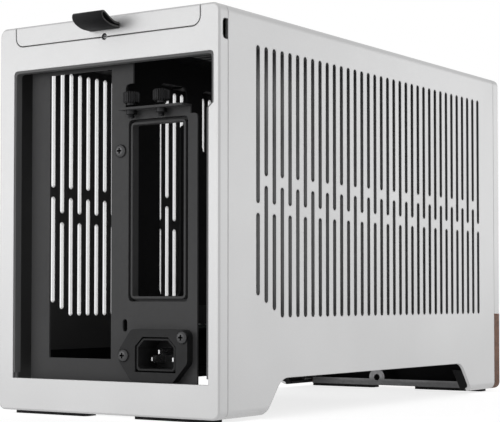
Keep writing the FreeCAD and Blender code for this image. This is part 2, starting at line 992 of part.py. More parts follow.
def plate_screw_seats():
    x = spine_x - plate_screw_x
    return [Vector(x, plate_out, z) for z in (base + plate_screw_rise, plate_top - plate_screw_drop)]


def lock_screws():
    x = spine_x - lock_screw_x
    solids = []
    for from_rear in lock_top_from_rear:
        solids.append(screw(Vector(x, y_rear - from_rear, rail_bottom + slide_gap), Vector(0, 0, 1)))
    for from_rear in lock_low_from_rear:
        seat = Vector(x, y_rear - from_rear, spine_bottom + steel)
        solids.append(screw(seat, Vector(0, 0, 1), length=2 * steel + slide_gap))
    return group(solids)


def plate_screws():
    return group([screw(seat, Vector(0, 1, 0), plate_head_radius) for seat in plate_screw_seats()])


def cable_window():
    # tall opening behind the port plate, with a band along the top for the cables
    rear = y_rear - cable_window_y
    low = base + cable_window_z
    top = spine_top - cable_window_drop
    inner = rear - cable_window_length
    band = top - cable_window_band
    radius = spine_window_radius
    return [
        (rear, low, radius),
        (rear, top, radius),
        (rear - cable_window_reach, top, radius),
        (rear - cable_window_reach, band, radius),
        (inner, band, radius),
        (inner, low, radius),
    ]


def vent_window():
    rear = y_rear - vent_window_y
    top = spine_top - cable_window_drop
    return rect(rear - vent_window_length, rear, top - vent_window_height, top, spine_window_radius)


def security_slot():
    x = spine_x - security_slot_x
    z = base + security_slot_rise
    half = security_slot_width / 2
    tall = security_slot_height / 2
    return rect(x - half, x + half, z - tall, z + tall, half)


def spine_plate():
    # folded sheet that carries the board on one side and the card on the other
    flange_end = spine_x - spine_flange
    rear_end = spine_x - spine_rear_flange
    end = plate_in
    wall = block(spine_back, spine_x, spine_front, end, spine_bottom, spine_top)
    trim = end - spine_end_trim
    top = block(flange_end, spine_x, spine_front, trim, spine_top - steel, spine_top)
    low_end = tray_rear - spine_end_trim
    low = block(flange_end, spine_x, spine_front, low_end, spine_bottom, spine_bottom + steel)
    rear = block(rear_end, spine_x, end - steel, end, spine_bottom + spine_end_trim, plate_top)
    x_cut = Vector(2 * steel, 0, 0)
    y = y_rear - spine_window_y
    z = base + spine_window_z
    half_l = spine_window_length / 2
    half_h = spine_window_height / 2
    window = rect(y - half_l, y + half_l, z - half_h, z + half_h, spine_window_radius)
    windows = (window, cable_window(), vent_window())
    cuts = [slab(form, beside(spine_back - steel / 2), x_cut) for form in windows]
    cuts.append(slab(security_slot(), across(end - steel), Vector(0, steel, 0)))
    cuts += [screw_hole(seat, Vector(0, 1, 0), 3 * steel) for seat in plate_screw_seats()]
    for places, height in ((lock_top_from_rear, spine_top), (lock_low_from_rear, spine_bottom)):
        for from_rear in places:
            seat = Vector(spine_x - lock_screw_x, y_rear - from_rear, height)
            cuts.append(screw_hole(seat, Vector(0, 0, 1), 2 * steel))
    return join(wall, top, low, rear).cut(group(cuts))


def plate_outline():
    relief = spine_x - relief_from_spine
    upper = relief - relief_step
    high = ledge_top + relief_height
    return [
        (plate_left, plate_low, 0),
        (plate_left, plate_top, 0),
        (upper, plate_top, 0),
        (upper, high, 0),
        (relief, high, relief_radius),
        (relief, ledge_top, 0),
        (card_right - ledge_side, ledge_top, 0),
        (card_right - ledge_side, ledge_top - column_drop, 0),
        (plate_right, ledge_top - column_drop, column_step / 2),
        (plate_right, plate_low, 0),
    ]


def window_corners(inset, radius):
    return rect(card_right + inset, card_left - inset, card_low + inset, card_top - inset, radius)


def rear_io_plate():
    # port plate: a beaded card window, the board's port cut-out and a folded ledge for the card
    through = Vector(0, steel, 0)
    sheet = slab(plate_outline(), across(plate_in), through)
    io_left = spine_x + io_from_spine
    ports = rect(io_left, io_left + io_width, io_low, io_top)
    openings = (ports, security_slot(), window_corners(0, card_radius), inlet_body(fit))
    cuts = [slab(corners, across(plate_in), through) for corners in openings]
    cuts += [screw_hole(seat, Vector(0, 1, 0), 3 * steel) for seat in plate_screw_seats() + inlet_seats()]
    sheet = sheet.cut(group(cuts))
    floor = plate_out - bead_depth - steel
    depth = Vector(0, plate_out - floor, 0)
    tube = slab(window_corners(-steel, card_radius + steel), across(floor), Vector(0, plate_in - floor, 0))
    groove = slab(window_corners(0, card_radius), across(floor + steel), Vector(0, bead_depth, 0))
    lip = slab(window_corners(bead_width, card_radius), across(floor), depth)
    hole = slab(window_corners(bead_width + steel, card_radius - steel), across(floor), depth)
    bead = join(tube.cut(groove), lip).cut(hole)
    ledge = block(card_right - ledge_side, card_left + ledge_side, plate_in, plate_out + ledge_reach,
                  ledge_top - steel, ledge_top)
    plate = join(sheet, bead, ledge)
    holes = [peg(thumb_shank + screw_gap, seat, seat - Vector(0, 0, 2 * steel)) for seat in thumb_seats()]
    return plate.cut(group(holes))


def thumb_seats():
    first = spine_x - thumb_x
    return [Vector(first - i * thumb_pitch, y_rear - thumb_recess, ledge_top) for i in range(2)]


def thumbscrew(seat):
    low = seat + Vector(0, 0, thumb_lift)
    high = low + Vector(0, 0, thumb_height)
    head = peg(thumb_radius, low, high, knob_sides)
    rims = edges_at(head, lambda c: min(abs(c.z - low.z), abs(c.z - high.z)) < 1e-6)
    head = head.makeChamfer(thumb_chamfer, rims)
    return join(head, peg(thumb_shank, seat - Vector(0, 0, thumb_tail), low))


def motherboard_standoffs():
    row = plate_in - board_gap - board_edge
    last = row - board_pitch_y
    low = io_low + board_row_inset
    high = io_top - board_row_inset
    solids = []
    for y, z in ((row, high), (last, high), (row - board_offset, low), (last, low)):
        seat = Vector(spine_x, y, z)
        end = seat + Vector(standoff_height, 0, 0)
        solids.append(peg(standoff_radius, seat, end, standoff_sides).cut(rod(standoff_hole, seat, end)))
    return group(solids)


def riser_bracket():
    rear = y_rear - riser_from_rear
    front = rear - riser_length
    top = base + riser_rise
    skirt = block(spine_back - steel, spine_back, front, rear, top - riser_skirt, top)
    shelf = block(spine_back - riser_shelf, spine_back, front, rear, top - steel, top)
    return join(skirt, shelf)


def riser_board():
    rear = y_rear - riser_from_rear - riser_board_margin
    front = y_rear - riser_from_rear - riser_length + riser_board_margin
    top = base + riser_rise
    return block(spine_back - riser_shelf + riser_board_margin, spine_back - riser_board_margin, front, rear,
                 top, top + riser_board_thickness)


def riser_socket():
    middle = y_rear - riser_from_rear - riser_length / 2
    x = spine_back - riser_shelf / 2
    low = base + riser_rise + riser_board_thickness
    half = socket_length / 2
    wide = socket_width / 2
    body = block(x - wide, x + wide, middle - half, middle + half, low, low + socket_height)
    thin = socket_groove / 2
    end = half - socket_groove
    return body.cut(block(x - thin, x + thin, middle - end, middle + end,
                          low + socket_height - socket_groove_depth, low + socket_height))


def inlet_x():
    return inlet_near + (inlet_far - inlet_near) * inlet_centre_share


def inlet_z():
    return base + inlet_rise


def inlet_face():
    return plate_out + inlet_flange


def inlet_seats():
    left = inlet_far - ear_left_x
    right = inlet_near + ear_right_x
    low = inlet_z() - ear_left_drop
    high = inlet_z() + ear_right_rise
    return [Vector(left, plate_out, low), Vector(right, plate_out, high)]


def inlet_socket(grow):
    half = socket_x / 2 + grow
    tall = socket_z / 2 + grow
    x = inlet_x()
    z = inlet_z()
    return [
        (x - half, z - tall, 0),
        (x + half, z - tall, 0),
        (x + half, z + tall - socket_chamfer, 0),
        (x + half - socket_chamfer, z + tall, 0),
        (x - half + socket_chamfer, z + tall, 0),
        (x - half, z + tall - socket_chamfer, 0),
    ]


def inlet_body(grow):
    return inlet_socket(socket_wall + grow)


def power_inlet():
    right = inlet_near
    left = inlet_far
    z = inlet_z()
    form = [
        (left, z - ear_left_drop - head_radius, inlet_ear_round),
        (left, z - ear_left_drop + head_radius, inlet_ear_round),
        (left - inlet_shoulder, z + inlet_up, inlet_corner),
        (right, z + inlet_up, inlet_corner),
        (right, z - inlet_right_down, inlet_corner),
        (right + inlet_foot_cut, z - inlet_down, inlet_corner),
        (left - inlet_shoulder, z - inlet_down, inlet_corner),
    ]
    flange = slab(form, across(plate_out), Vector(0, inlet_flange, 0))
    floor = inlet_face() - socket_depth
    body = slab(inlet_body(0), across(floor - socket_wall), Vector(0, plate_out - floor + socket_wall, 0))
    cuts = [slab(inlet_socket(0), across(floor), Vector(0, socket_depth, 0))]
    for seat in inlet_seats():
        sunk = seat + Vector(0, inlet_flange - head_height, 0)
        cuts.append(peg(head_radius + screw_gap, sunk, sunk + Vector(0, inlet_flange, 0), head_sides))
        cuts.append(screw_hole(seat, Vector(0, 1, 0), inlet_flange))
    return join(flange, body).cut(group(cuts))


def inlet_screws():
    sunk = Vector(0, inlet_flange - head_height, 0)
    length = inlet_flange + steel
    return group([screw(seat + sunk, Vector(0, 1, 0), length=length) for seat in inlet_seats()])


def inlet_pins():
    floor = inlet_face() - socket_depth
    low = inlet_z() - blade_drop
    half = blade_pitch / 2
    spots = [
        (inlet_x() - half, low, blade_length),
        (inlet_x() + half, low, blade_length),
        (inlet_x(), inlet_z() + blade_earth_rise, blade_length + blade_earth_extra),
    ]
    thin = blade_thick / 2
    tall = blade_tall / 2
    solids = []
    for x, z, length in spots:
        solids.append(block(x - thin, x + thin, floor, floor + length, z - tall, z + tall))
    return group(solids)


left_panel = side_panel()
rail = top_rail()
rear_foot = foot_strip(y_rear - foot_recess - foot_width)
front_foot = foot_strip(y_front + foot_recess)
lugs = hinge_lugs()
studs = side_studs()
inner_thumb, outer_thumb = [thumbscrew(seat) for seat in thumb_seats()]
tongue_a_z = port_z + usb_a_height / 2 - usb_wall - tongue_thick - usb_wall
usb_c_z = io_board_top + usb_c_height / 2

pieces = {
    "left_side_panel": left_panel,
    "right_side_panel": mirrored(left_panel),
    "left_hinge_lugs": group(lugs),
    "right_hinge_lugs": group([mirrored(lug) for lug in lugs]),
    "left_snap_studs": group(studs),
    "right_snap_studs": group([mirrored(stud) for stud in studs]),
    "hinge_pins": hinge_pins(),
    "snap_sockets": snap_sockets(),
    "top_panel": top_panel(),
    "top_snap_studs": top_studs(),
    "pull_tab": pull_tab(),
    "tab_bar": tab_bar(),
    "top_lock_screw": top_lock_screw(),
    "rear_frame": rear_frame(),
    "front_panel": front_panel(),
    "wood_front_strip": wood_front_strip(),
    "foot_rear_left": rear_foot,
    "foot_rear_right": mirrored(rear_foot),
    "foot_front_left": front_foot,
    "foot_front_right": mirrored(front_foot),
    "rear_chassis": rear_chassis(),
    "front_chassis": front_chassis(),
    "top_rail_left": rail,
    "top_rail_right": mirrored(rail),
    "cross_bar_rear": cross_bar(lock_top_from_rear[0]),
    "cross_bar_front": cross_bar(lock_top_from_rear[1]),
    "bottom_tray": bottom_tray(),
    "tray_bracket": tray_bracket(),
    "psu_bracket": psu_bracket(),
    "spine_plate": spine_plate(),
    "spine_lock_screws": lock_screws(),
    "rear_io_plate": rear_io_plate(),
    "io_plate_screws": plate_screws(),
    "thumbscrew_inner": inner_thumb,
    "thumbscrew_outer": outer_thumb,
    "motherboard_standoffs": motherboard_standoffs(),
    "riser_bracket": riser_bracket(),
    "riser_board": riser_board(),
    "riser_socket": riser_socket(),
    "power_inlet": power_inlet(),
    "inlet_screws": inlet_screws(),
    "inlet_pins": inlet_pins(),
    "power_button": power_button(),
    "power_switch": power_switch(),
    "front_io_board": front_io_board(),
    "front_io_bracket": front_io_bracket(),
    "usb_c_shell": usb_shell(usb_c_x, usb_c_z, usb_c_width, usb_c_height),
    "usb_c_tongue": usb_tongue(usb_c_x, usb_c_z - tongue_c_thick / 2, usb_c_width, tongue_c_thick),
}
for name, x in zip(("left", "right"), usb_a_x):
    pieces["usb_a_shell_" + name] = usb_shell(x, port_z, usb_a_width, usb_a_height)
    pieces["usb_a_tongue_" + name] = usb_tongue(x, tongue_a_z, usb_a_width, tongue_thick)

for name, shape in pieces.items():
    shape.exportStep("parts/" + name + ".step")
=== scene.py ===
import json
import math

import bmesh
import bpy
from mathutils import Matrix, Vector


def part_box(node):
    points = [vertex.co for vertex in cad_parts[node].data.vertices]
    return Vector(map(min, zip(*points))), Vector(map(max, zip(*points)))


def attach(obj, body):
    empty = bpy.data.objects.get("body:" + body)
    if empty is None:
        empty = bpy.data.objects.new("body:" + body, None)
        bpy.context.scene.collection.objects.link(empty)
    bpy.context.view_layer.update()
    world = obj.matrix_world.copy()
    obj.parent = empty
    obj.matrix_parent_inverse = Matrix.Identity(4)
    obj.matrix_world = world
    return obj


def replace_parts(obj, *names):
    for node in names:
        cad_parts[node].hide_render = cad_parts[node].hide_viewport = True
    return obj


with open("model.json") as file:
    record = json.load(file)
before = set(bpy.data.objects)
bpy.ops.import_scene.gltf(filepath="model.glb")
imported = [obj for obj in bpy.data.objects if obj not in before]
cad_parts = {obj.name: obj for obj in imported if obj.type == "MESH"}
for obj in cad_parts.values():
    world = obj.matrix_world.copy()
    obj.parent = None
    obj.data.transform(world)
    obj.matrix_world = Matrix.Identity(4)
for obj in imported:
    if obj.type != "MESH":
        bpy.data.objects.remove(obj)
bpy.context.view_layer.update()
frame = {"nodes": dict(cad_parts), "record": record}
nodes = frame["nodes"]
mm = 0.001
print("frame loaded:", len(nodes), "nodes")


def linked(name, data):
    thing = bpy.data.objects.new(name, data)
    bpy.context.collection.objects.link(thing)
    return thing


# camera, fitted to the vanishing points and corners of the case
cameraLook = {
    "at": (-0.51937, 0.79665, 0.06476), "turn": (92.170, 0.0, -146.246), "lens": 108.503, "sensor": 36.0,
    "shift": (-0.0039, 0.06), "clip": (0.05, 50.0),
}
cameraData = bpy.data.cameras.new("rearCamera")
cameraData.sensor_width = cameraLook["sensor"]
cameraData.lens = cameraLook["lens"]
cameraData.shift_x, cameraData.shift_y = cameraLook["shift"]
cameraData.clip_start, cameraData.clip_end = cameraLook["clip"]
camera = linked("rearCamera", cameraData)
camera.location = cameraLook["at"]
camera.rotation_euler = [math.radians(angle) for angle in cameraLook["turn"]]
bpy.context.scene.camera = camera
bpy.context.scene.view_settings.view_transform = "Standard"

# soft studio light
studioLook = {
    "ambient": 0.36,
    "backdrop": 1.0,
    "lamps": {
        "rearSoftbox": {"at": (1.05, 1.55, 0.14), "aim": (0.0, 0.16, 0.11), "size": 1.3, "watts": 6.8},
        "sideSoftbox": {"at": (-0.95, -1.6, 0.30), "aim": (-0.07, -0.12, 0.11), "size": 1.0, "watts": 2.4},
        "topSoftbox": {"at": (0.1, 0.0, 1.8), "aim": (0.0, 0.0, 0.20), "size": 1.6, "watts": 0.6},
        "farSoftbox": {"at": (1.5, -1.1, 0.8), "aim": (0.05, -0.05, 0.11), "size": 1.4, "watts": 6},
    },
}
for lampName, lamp in studioLook["lamps"].items():
    lampData = bpy.data.lights.new(lampName, "AREA")
    lampData.shape = "DISK"
    lampData.size = lamp["size"]
    lampData.energy = lamp["watts"]
    lampObject = linked(lampName, lampData)
    lampObject.location = lamp["at"]
    lampAim = Vector(lamp["aim"]) - Vector(lamp["at"])
    lampObject.rotation_euler = lampAim.to_track_quat("-Z", "Y").to_euler()


def setSockets(step, values):
    for name, value in values.items():
        step.inputs[name].default_value = value


def mathOf(tree, operation, *values):
    step = tree.nodes.new("ShaderNodeMath")
    step.operation = operation
    for place, value in enumerate(values):
        if isinstance(value, bpy.types.NodeSocket):
            tree.links.new(value, step.inputs[place])
        else:
            step.inputs[place].default_value = value
    return step.outputs[0]


def product(tree, first, *others):
    for other in others:
        first = mathOf(tree, "MULTIPLY", first, other)
    return first


def seenDirectly(tree):
    # 1 for camera and mirror rays, 0 for the rays that light things
    path = tree.nodes.new("ShaderNodeLightPath")
    return mathOf(tree, "MAXIMUM", path.outputs["Is Camera Ray"], path.outputs["Is Glossy Ray"])


world = bpy.data.worlds.new("studioWorld")
bpy.context.scene.world = world
world.use_nodes = True
worldTree = world.node_tree
worldTree.nodes.clear()
worldOut = worldTree.nodes.new("ShaderNodeOutputWorld")
worldMix = worldTree.nodes.new("ShaderNodeMixShader")
worldTree.links.new(seenDirectly(worldTree), worldMix.inputs["Fac"])
for place, strength in ((1, studioLook["ambient"]), (2, studioLook["backdrop"])):
    worldWhite = worldTree.nodes.new("ShaderNodeBackground")
    setSockets(worldWhite, {"Color": (1.0, 1.0, 1.0, 1.0), "Strength": strength})
    worldTree.links.new(worldWhite.outputs[0], worldMix.inputs[place])
worldTree.links.new(worldMix.outputs[0], worldOut.inputs["Surface"])

# floor: a pale sheet with its own glow, so that only the shadow darkens it
floorLook = {"half": 6.0, "grey": (0.55, 0.55, 0.55, 1.0), "glow": 0.80}
floorMesh = bpy.data.meshes.new("studioFloor")
reach = floorLook["half"]
floorCorners = [(-reach, -reach, 0), (reach, -reach, 0), (reach, reach, 0), (-reach, reach, 0)]
floorMesh.from_pydata(floorCorners, [], [(0, 1, 2, 3)])
floorObject = linked("studioFloor", floorMesh)
floorFinish = bpy.data.materials.new("paleFloor")
floorFinish.use_nodes = True
floorTree = floorFinish.node_tree
floorTree.nodes.clear()
floorOut = floorTree.nodes.new("ShaderNodeOutputMaterial")
floorSum = floorTree.nodes.new("ShaderNodeAddShader")
floorMatt = floorTree.nodes.new("ShaderNodeBsdfDiffuse")
setSockets(floorMatt, {"Color": floorLook["grey"]})
floorGlow = floorTree.nodes.new("ShaderNodeEmission")
floorLevel = product(floorTree, seenDirectly(floorTree), floorLook["glow"])
floorTree.links.new(floorLevel, floorGlow.inputs["Strength"])
floorTree.links.new(floorMatt.outputs[0], floorSum.inputs[0])
floorTree.links.new(floorGlow.outputs[0], floorSum.inputs[1])
floorTree.links.new(floorSum.outputs[0], floorOut.inputs["Surface"])
floorMesh.materials.append(floorFinish)
print("camera, lamps and floor ready")


# small helpers for the finishes
def newFinish(name, roughness, metallic=0.0, specular=0.5):
    finish = bpy.data.materials.new(name)
    finish.use_nodes = True
    shader = finish.node_tree.nodes["Principled BSDF"]
    setSockets(shader, {"Roughness": roughness, "Metallic": metallic, "Specular IOR Level": specular})
    return finish, finish.node_tree, shader


def objectPlace(tree, stretch=(1.0, 1.0, 1.0)):
    coords = tree.nodes.new("ShaderNodeTexCoord")
    mapping = tree.nodes.new("ShaderNodeMapping")
    mapping.inputs["Scale"].default_value = stretch
    tree.links.new(coords.outputs["Object"], mapping.inputs["Vector"])
    return mapping.outputs["Vector"]


def grainOf(tree, scale, detail=2.0, stretch=(1.0, 1.0, 1.0), warp=0.0):
    noise = tree.nodes.new("ShaderNodeTexNoise")
    setSockets(noise, {"Scale": scale, "Detail": detail, "Distortion": warp})
    tree.links.new(objectPlace(tree, stretch), noise.inputs["Vector"])
    return noise.outputs["Fac"]


def rampOf(tree, source, stops):
    ramp = tree.nodes.new("ShaderNodeValToRGB")
    band = ramp.color_ramp
    while len(band.elements) < len(stops):
        band.elements.new(0.5)
    for element, (place, colour) in zip(band.elements, stops):
        element.position = place
        element.color = (*colour, 1.0)
    tree.links.new(source, ramp.inputs["Fac"])
    return ramp.outputs["Color"]


def spanOf(tree, source, low, high):
    # noise lies mostly between 0.3 and 0.7
    span = tree.nodes.new("ShaderNodeMapRange")
    setSockets(span, {"From Min": 0.3, "From Max": 0.7, "To Min": low, "To Max": high})
    tree.links.new(source, span.inputs["Value"])
    return span.outputs["Result"]


def bumpOf(tree, shader, source, strength, depth, edge=0.0):
    bump = tree.nodes.new("ShaderNodeBump")
    if edge:
        # sharp edges of the mesh shade as if eased
        eased = tree.nodes.new("ShaderNodeBevel")
        eased.samples = 6
        eased.inputs["Radius"].default_value = edge
        tree.links.new(eased.outputs["Normal"], bump.inputs["Normal"])
    setSockets(bump, {"Strength": strength, "Distance": depth})
    tree.links.new(source, bump.inputs["Height"])
    tree.links.new(bump.outputs["Normal"], shader.inputs["Normal"])


def blendOf(tree, factor, first, second, way="MIX"):
    blend = tree.nodes.new("ShaderNodeMix")
    blend.data_type = "RGBA"
    blend.blend_type = way
    for place, value in ((0, factor), (6, first), (7, second)):
        if isinstance(value, bpy.types.NodeSocket):
            tree.links.new(value, blend.inputs[place])
        else:
            blend.inputs[place].default_value = value
    return blend.outputs[2]


def placeAndFacing(tree):
    # x, y, z of the place and of the way the surface looks, in the shared frame
    coords = tree.nodes.new("ShaderNodeTexCoord")
    parts = []
    for source in ("Object", "Normal"):
        split = tree.nodes.new("ShaderNodeSeparateXYZ")
        tree.links.new(coords.outputs[source], split.inputs["Vector"])
        parts += [split.outputs[axis] for axis in "XYZ"]
    return parts


def within(tree, value, middle, reach):
    away = mathOf(tree, "ABSOLUTE", mathOf(tree, "SUBTRACT", value, middle))
    return mathOf(tree, "LESS_THAN", away, reach)


# bead-blasted, clear anodised sheet; the folded covers are dark on their inner side, partly a dark coat and
# partly painted shade of the case's interior, darkest on the lid
aluminiumLook = {
    "low": (0.487, 0.487, 0.489), "high": (0.520, 0.520, 0.522), "inner": (0.010, 0.010, 0.011, 1.0),
    "innerSideCoatAndShade": (0.14, 0.14, 0.141, 1.0), "shaded": (0.13, 0.13, 0.131, 1.0), "metal": 1.0, "shine": 0.5,
    "paintShine": 0.15, "cloud": 9.0, "beads": 3200.0, "roughMean": 0.46, "rough": (0.40, 0.54),
    "bump": (0.16, 0.00006), "edge": 0.0007,
}
# where the dark inner coat with its painted shade and the painted shade of the slot walls lie, in metres; a
# pair is a middle and a reach
coverPlaces = {
    "sideWeight": 1.4, "middle": 0.11, "coatAndShadeBelow": -0.099, "edgeOn": (0.0, 0.5),
    "slotRow": (-0.0079, 0.1381), "leftFace": -0.074, "leftSlots": (0.1271, 0.0731), "lidFace": 0.2158,
    "lidSlots": (0.0, 0.0512),
}


def blastedAluminium(name, innerCoatAndShade):
    look, places = aluminiumLook, coverPlaces
    shine = look["paintShine"] if innerCoatAndShade else look["shine"]
    finish, tree, shader = newFinish(name, look["roughMean"], look["metal"], shine)
    cloud = grainOf(tree, look["cloud"], 3.0)
    sheet = rampOf(tree, cloud, [(0.35, look["low"]), (0.65, look["high"])])
    beads = grainOf(tree, look["beads"], 1.0)
    tree.links.new(spanOf(tree, beads, *look["rough"]), shader.inputs["Roughness"])
    bumpOf(tree, shader, beads, *look["bump"], look["edge"])
    if not innerCoatAndShade:
        tree.links.new(sheet, shader.inputs["Base Color"])
        return finish
    x, y, z, facingX, _, facingZ = placeAndFacing(tree)
    # faces that look towards the middle of the case take the dark inner coat, which is partly painted shade
    sideways = product(tree, x, places["sideWeight"], facingX)
    upwards = product(tree, mathOf(tree, "SUBTRACT", z, places["middle"]), facingZ)
    inside = mathOf(tree, "LESS_THAN", mathOf(tree, "ADD", sideways, upwards), places["coatAndShadeBelow"])
    # slots of the left panel and the lid are deep in shade, so their walls are darker than the sheet
    notSideways = within(tree, facingX, *places["edgeOn"])
    notUpwards = within(tree, facingZ, *places["edgeOn"])
    leftOuter = mathOf(tree, "LESS_THAN", x, places["leftFace"])
    leftWall = product(tree, leftOuter, notSideways, within(tree, z, *places["leftSlots"]))
    lidOuter = mathOf(tree, "GREATER_THAN", z, places["lidFace"])
    lidWall = product(tree, lidOuter, notUpwards, within(tree, x, *places["lidSlots"]))
    slotWall = mathOf(tree, "MAXIMUM", leftWall, lidWall)
    shade = product(tree, within(tree, y, *places["slotRow"]), slotWall)
    sheet = blendOf(tree, shade, sheet, look["shaded"])
    # painted shade: inner faces of the side covers take a mid grey, the lid's and other flat inner faces a
    # near black
    coatAndShade = blendOf(tree, notSideways, look["innerSideCoatAndShade"], look["inner"])
    tree.links.new(blendOf(tree, inside, sheet, coatAndShade), shader.inputs["Base Color"])
    bare = mathOf(tree, "MULTIPLY_ADD", inside, -look["metal"], look["metal"])
    tree.links.new(bare, shader.inputs["Metallic"])
    return finish


# satin black powder coat with its orange peel
powderLook = {"low": (0.108, 0.108, 0.110), "high": (0.126, 0.126, 0.128), "shine": 0.15}
# painted light: the rear chassis ring takes the same black coat made lighter, so its lining reads lit
litRingPowderLook = {"low": (0.25, 0.25, 0.253), "high": (0.28, 0.28, 0.283), "shine": 0.15}
# painted shade: the chassis parts inside the case take the same black coat made darker
shadedInnerPowderLook = {"low": (0.016, 0.016, 0.017), "high": (0.023, 0.023, 0.024), "shine": 0.06}
powderGrain = {"peel": 700.0, "cloud": 14.0, "roughMean": 0.5, "rough": (0.42, 0.60), "bump": (0.25, 0.0002)}
# zinc rail: colours, where it ends, and a tone darker towards the floor and lighter higher up, with some
# noise
bareRailLook = {
    "low": (0.13, 0.13, 0.132), "high": (0.31, 0.31, 0.315), "top": 0.0165, "front": -0.166, "grain": 60.0,
    "toneJitter": 0.004, "spread": 60.0, "stops": (0.40, 0.62),
}


def powderCoat(name, look, bareRail=False):
    finish, tree, shader = newFinish(name, powderGrain["roughMean"], 0.0, look["shine"])
    peel = grainOf(tree, powderGrain["peel"], 2.0)
    cloud = grainOf(tree, powderGrain["cloud"], 2.0)
    coat = rampOf(tree, cloud, [(0.3, look["low"]), (0.7, look["high"])])
    if bareRail:
        # the rail along the floor is left in plain zinc
        rail = bareRailLook
        _, y, z = placeAndFacing(tree)[:3]
        bare = product(tree, mathOf(tree, "LESS_THAN", z, rail["top"]),
                       mathOf(tree, "GREATER_THAN", y, rail["front"]))
        # the zinc is darker towards the floor and lighter higher up
        heightTone = mathOf(tree, "MULTIPLY_ADD", grainOf(tree, rail["grain"], 3.0), rail["toneJitter"], z)
        stops = list(zip(rail["stops"], (rail["low"], rail["high"])))
        zinc = rampOf(tree, product(tree, heightTone, rail["spread"]), stops)
        coat = blendOf(tree, bare, coat, zinc)
        tree.links.new(bare, shader.inputs["Metallic"])
    tree.links.new(coat, shader.inputs["Base Color"])
    tree.links.new(spanOf(tree, peel, *powderGrain["rough"]), shader.inputs["Roughness"])
    bumpOf(tree, shader, peel, *powderGrain["bump"])
    return finish


# oiled walnut, grain across the case
walnutLook = {
    "dark": (0.145, 0.062, 0.034), "mid": (0.278, 0.126, 0.073), "pale": (0.370, 0.183, 0.111),
    "line": (0.62, 0.60, 0.58), "pore": (0.45, 0.42, 0.40), "clear": (1.0, 1.0, 1.0), "lineWeight": 0.8,
    "poreWeight": 0.6, "shine": 0.25, "roughMean": 0.5, "rough": (0.42, 0.60), "bump": (0.3, 0.00015),
}


def oiledWalnut():
    look = walnutLook
    finish, tree, shader = newFinish("oiledWalnut", look["roughMean"], 0.0, look["shine"])
    figure = grainOf(tree, 7.0, 4.0, (0.9, 16.0, 22.0), 0.8)  # broad figure
    streak = grainOf(tree, 9.0, 3.0, (2.5, 140.0, 160.0), 0.2)  # growth lines
    pores = grainOf(tree, 30.0, 1.0, (6.0, 110.0, 130.0))  # open pores
    colour = rampOf(tree, figure, [(0.28, look["dark"]), (0.5, look["mid"]),
                                   (0.72, look["pale"])])
    lines = rampOf(tree, streak, [(0.36, look["line"]), (0.62, look["clear"])])
    pits = rampOf(tree, pores, [(0.30, look["pore"]), (0.40, look["clear"])])
    colour = blendOf(tree, look["lineWeight"], colour, lines, "MULTIPLY")
    colour = blendOf(tree, look["poreWeight"], colour, pits, "MULTIPLY")
    tree.links.new(colour, shader.inputs["Base Color"])
    tree.links.new(spanOf(tree, streak, *look["rough"]), shader.inputs["Roughness"])
    bumpOf(tree, shader, pores, *look["bump"])
    return finish


# strap: dark grained face and a paler cut edge
strapFinishLook = {
    "face": (0.008, 0.008, 0.009), "sheen": (0.015, 0.015, 0.016), "edge": (0.150, 0.147, 0.145),
    "edgeShade": 0.6, "shine": 0.2, "faceRough": 0.62, "edgeRough": 0.8, "cells": 950.0, "cloud": 160.0,
    "fibre": 700.0, "faceBump": (0.35, 0.0003), "edgeBump": (0.4, 0.0002),
}


def strapFace():
    look = strapFinishLook
    finish, tree, shader = newFinish("strapFace", look["faceRough"], 0.0, look["shine"])
    cells = tree.nodes.new("ShaderNodeTexVoronoi")
    cells.inputs["Scale"].default_value = look["cells"]
    tree.links.new(objectPlace(tree), cells.inputs["Vector"])
    cloud = grainOf(tree, look["cloud"], 3.0)
    face = rampOf(tree, cloud, [(0.3, look["face"]), (0.7, look["sheen"])])
    tree.links.new(face, shader.inputs["Base Color"])
    bumpOf(tree, shader, cells.outputs["Distance"], *look["faceBump"])
    return finish


def strapEdge():
    look = strapFinishLook
    finish, tree, shader = newFinish("strapEdge", look["edgeRough"], 0.0, look["shine"])
    fibre = grainOf(tree, look["fibre"], 3.0)
    dark = tuple(level * look["edgeShade"] for level in look["edge"])
    cut = rampOf(tree, fibre, [(0.35, dark), (0.65, look["edge"])])
    tree.links.new(cut, shader.inputs["Base Color"])
    bumpOf(tree, shader, fibre, *look["edgeBump"])
    return finish


# plain solids with a fine surface of their own: low and high colour, grain, roughness span, metal, bump
plainLooks = {
    "foot_rubber": {"low": (0.016, 0.016, 0.016), "high": (0.026, 0.026, 0.027), "grain": 900.0,
                    "rough": (0.72, 0.88), "metal": 0.0, "bump": 0.35},
    "zinc_screw": {"low": (0.24, 0.24, 0.245), "high": (0.31, 0.31, 0.315), "grain": 400.0,
                   "rough": (0.34, 0.48), "metal": 1.0, "bump": 0.10},
    "black_screw": {"low": (0.026, 0.026, 0.027), "high": (0.042, 0.042, 0.044), "grain": 400.0,
                    "rough": (0.32, 0.46), "metal": 0.7, "bump": 0.10},
    "satin_screw": {"low": (0.054, 0.054, 0.055), "high": (0.082, 0.082, 0.084), "grain": 400.0,
                    "rough": (0.26, 0.38), "metal": 0.85, "bump": 0.10},
    "moulded_black": {"low": (0.027, 0.027, 0.028), "high": (0.037, 0.037, 0.038), "grain": 1300.0,
                      "rough": (0.44, 0.60), "metal": 0.0, "bump": 0.25},
    "standoff_brass": {"low": (0.62, 0.44, 0.19), "high": (0.74, 0.56, 0.28), "grain": 500.0,
                       "rough": (0.26, 0.40), "metal": 1.0, "bump": 0.08},
}


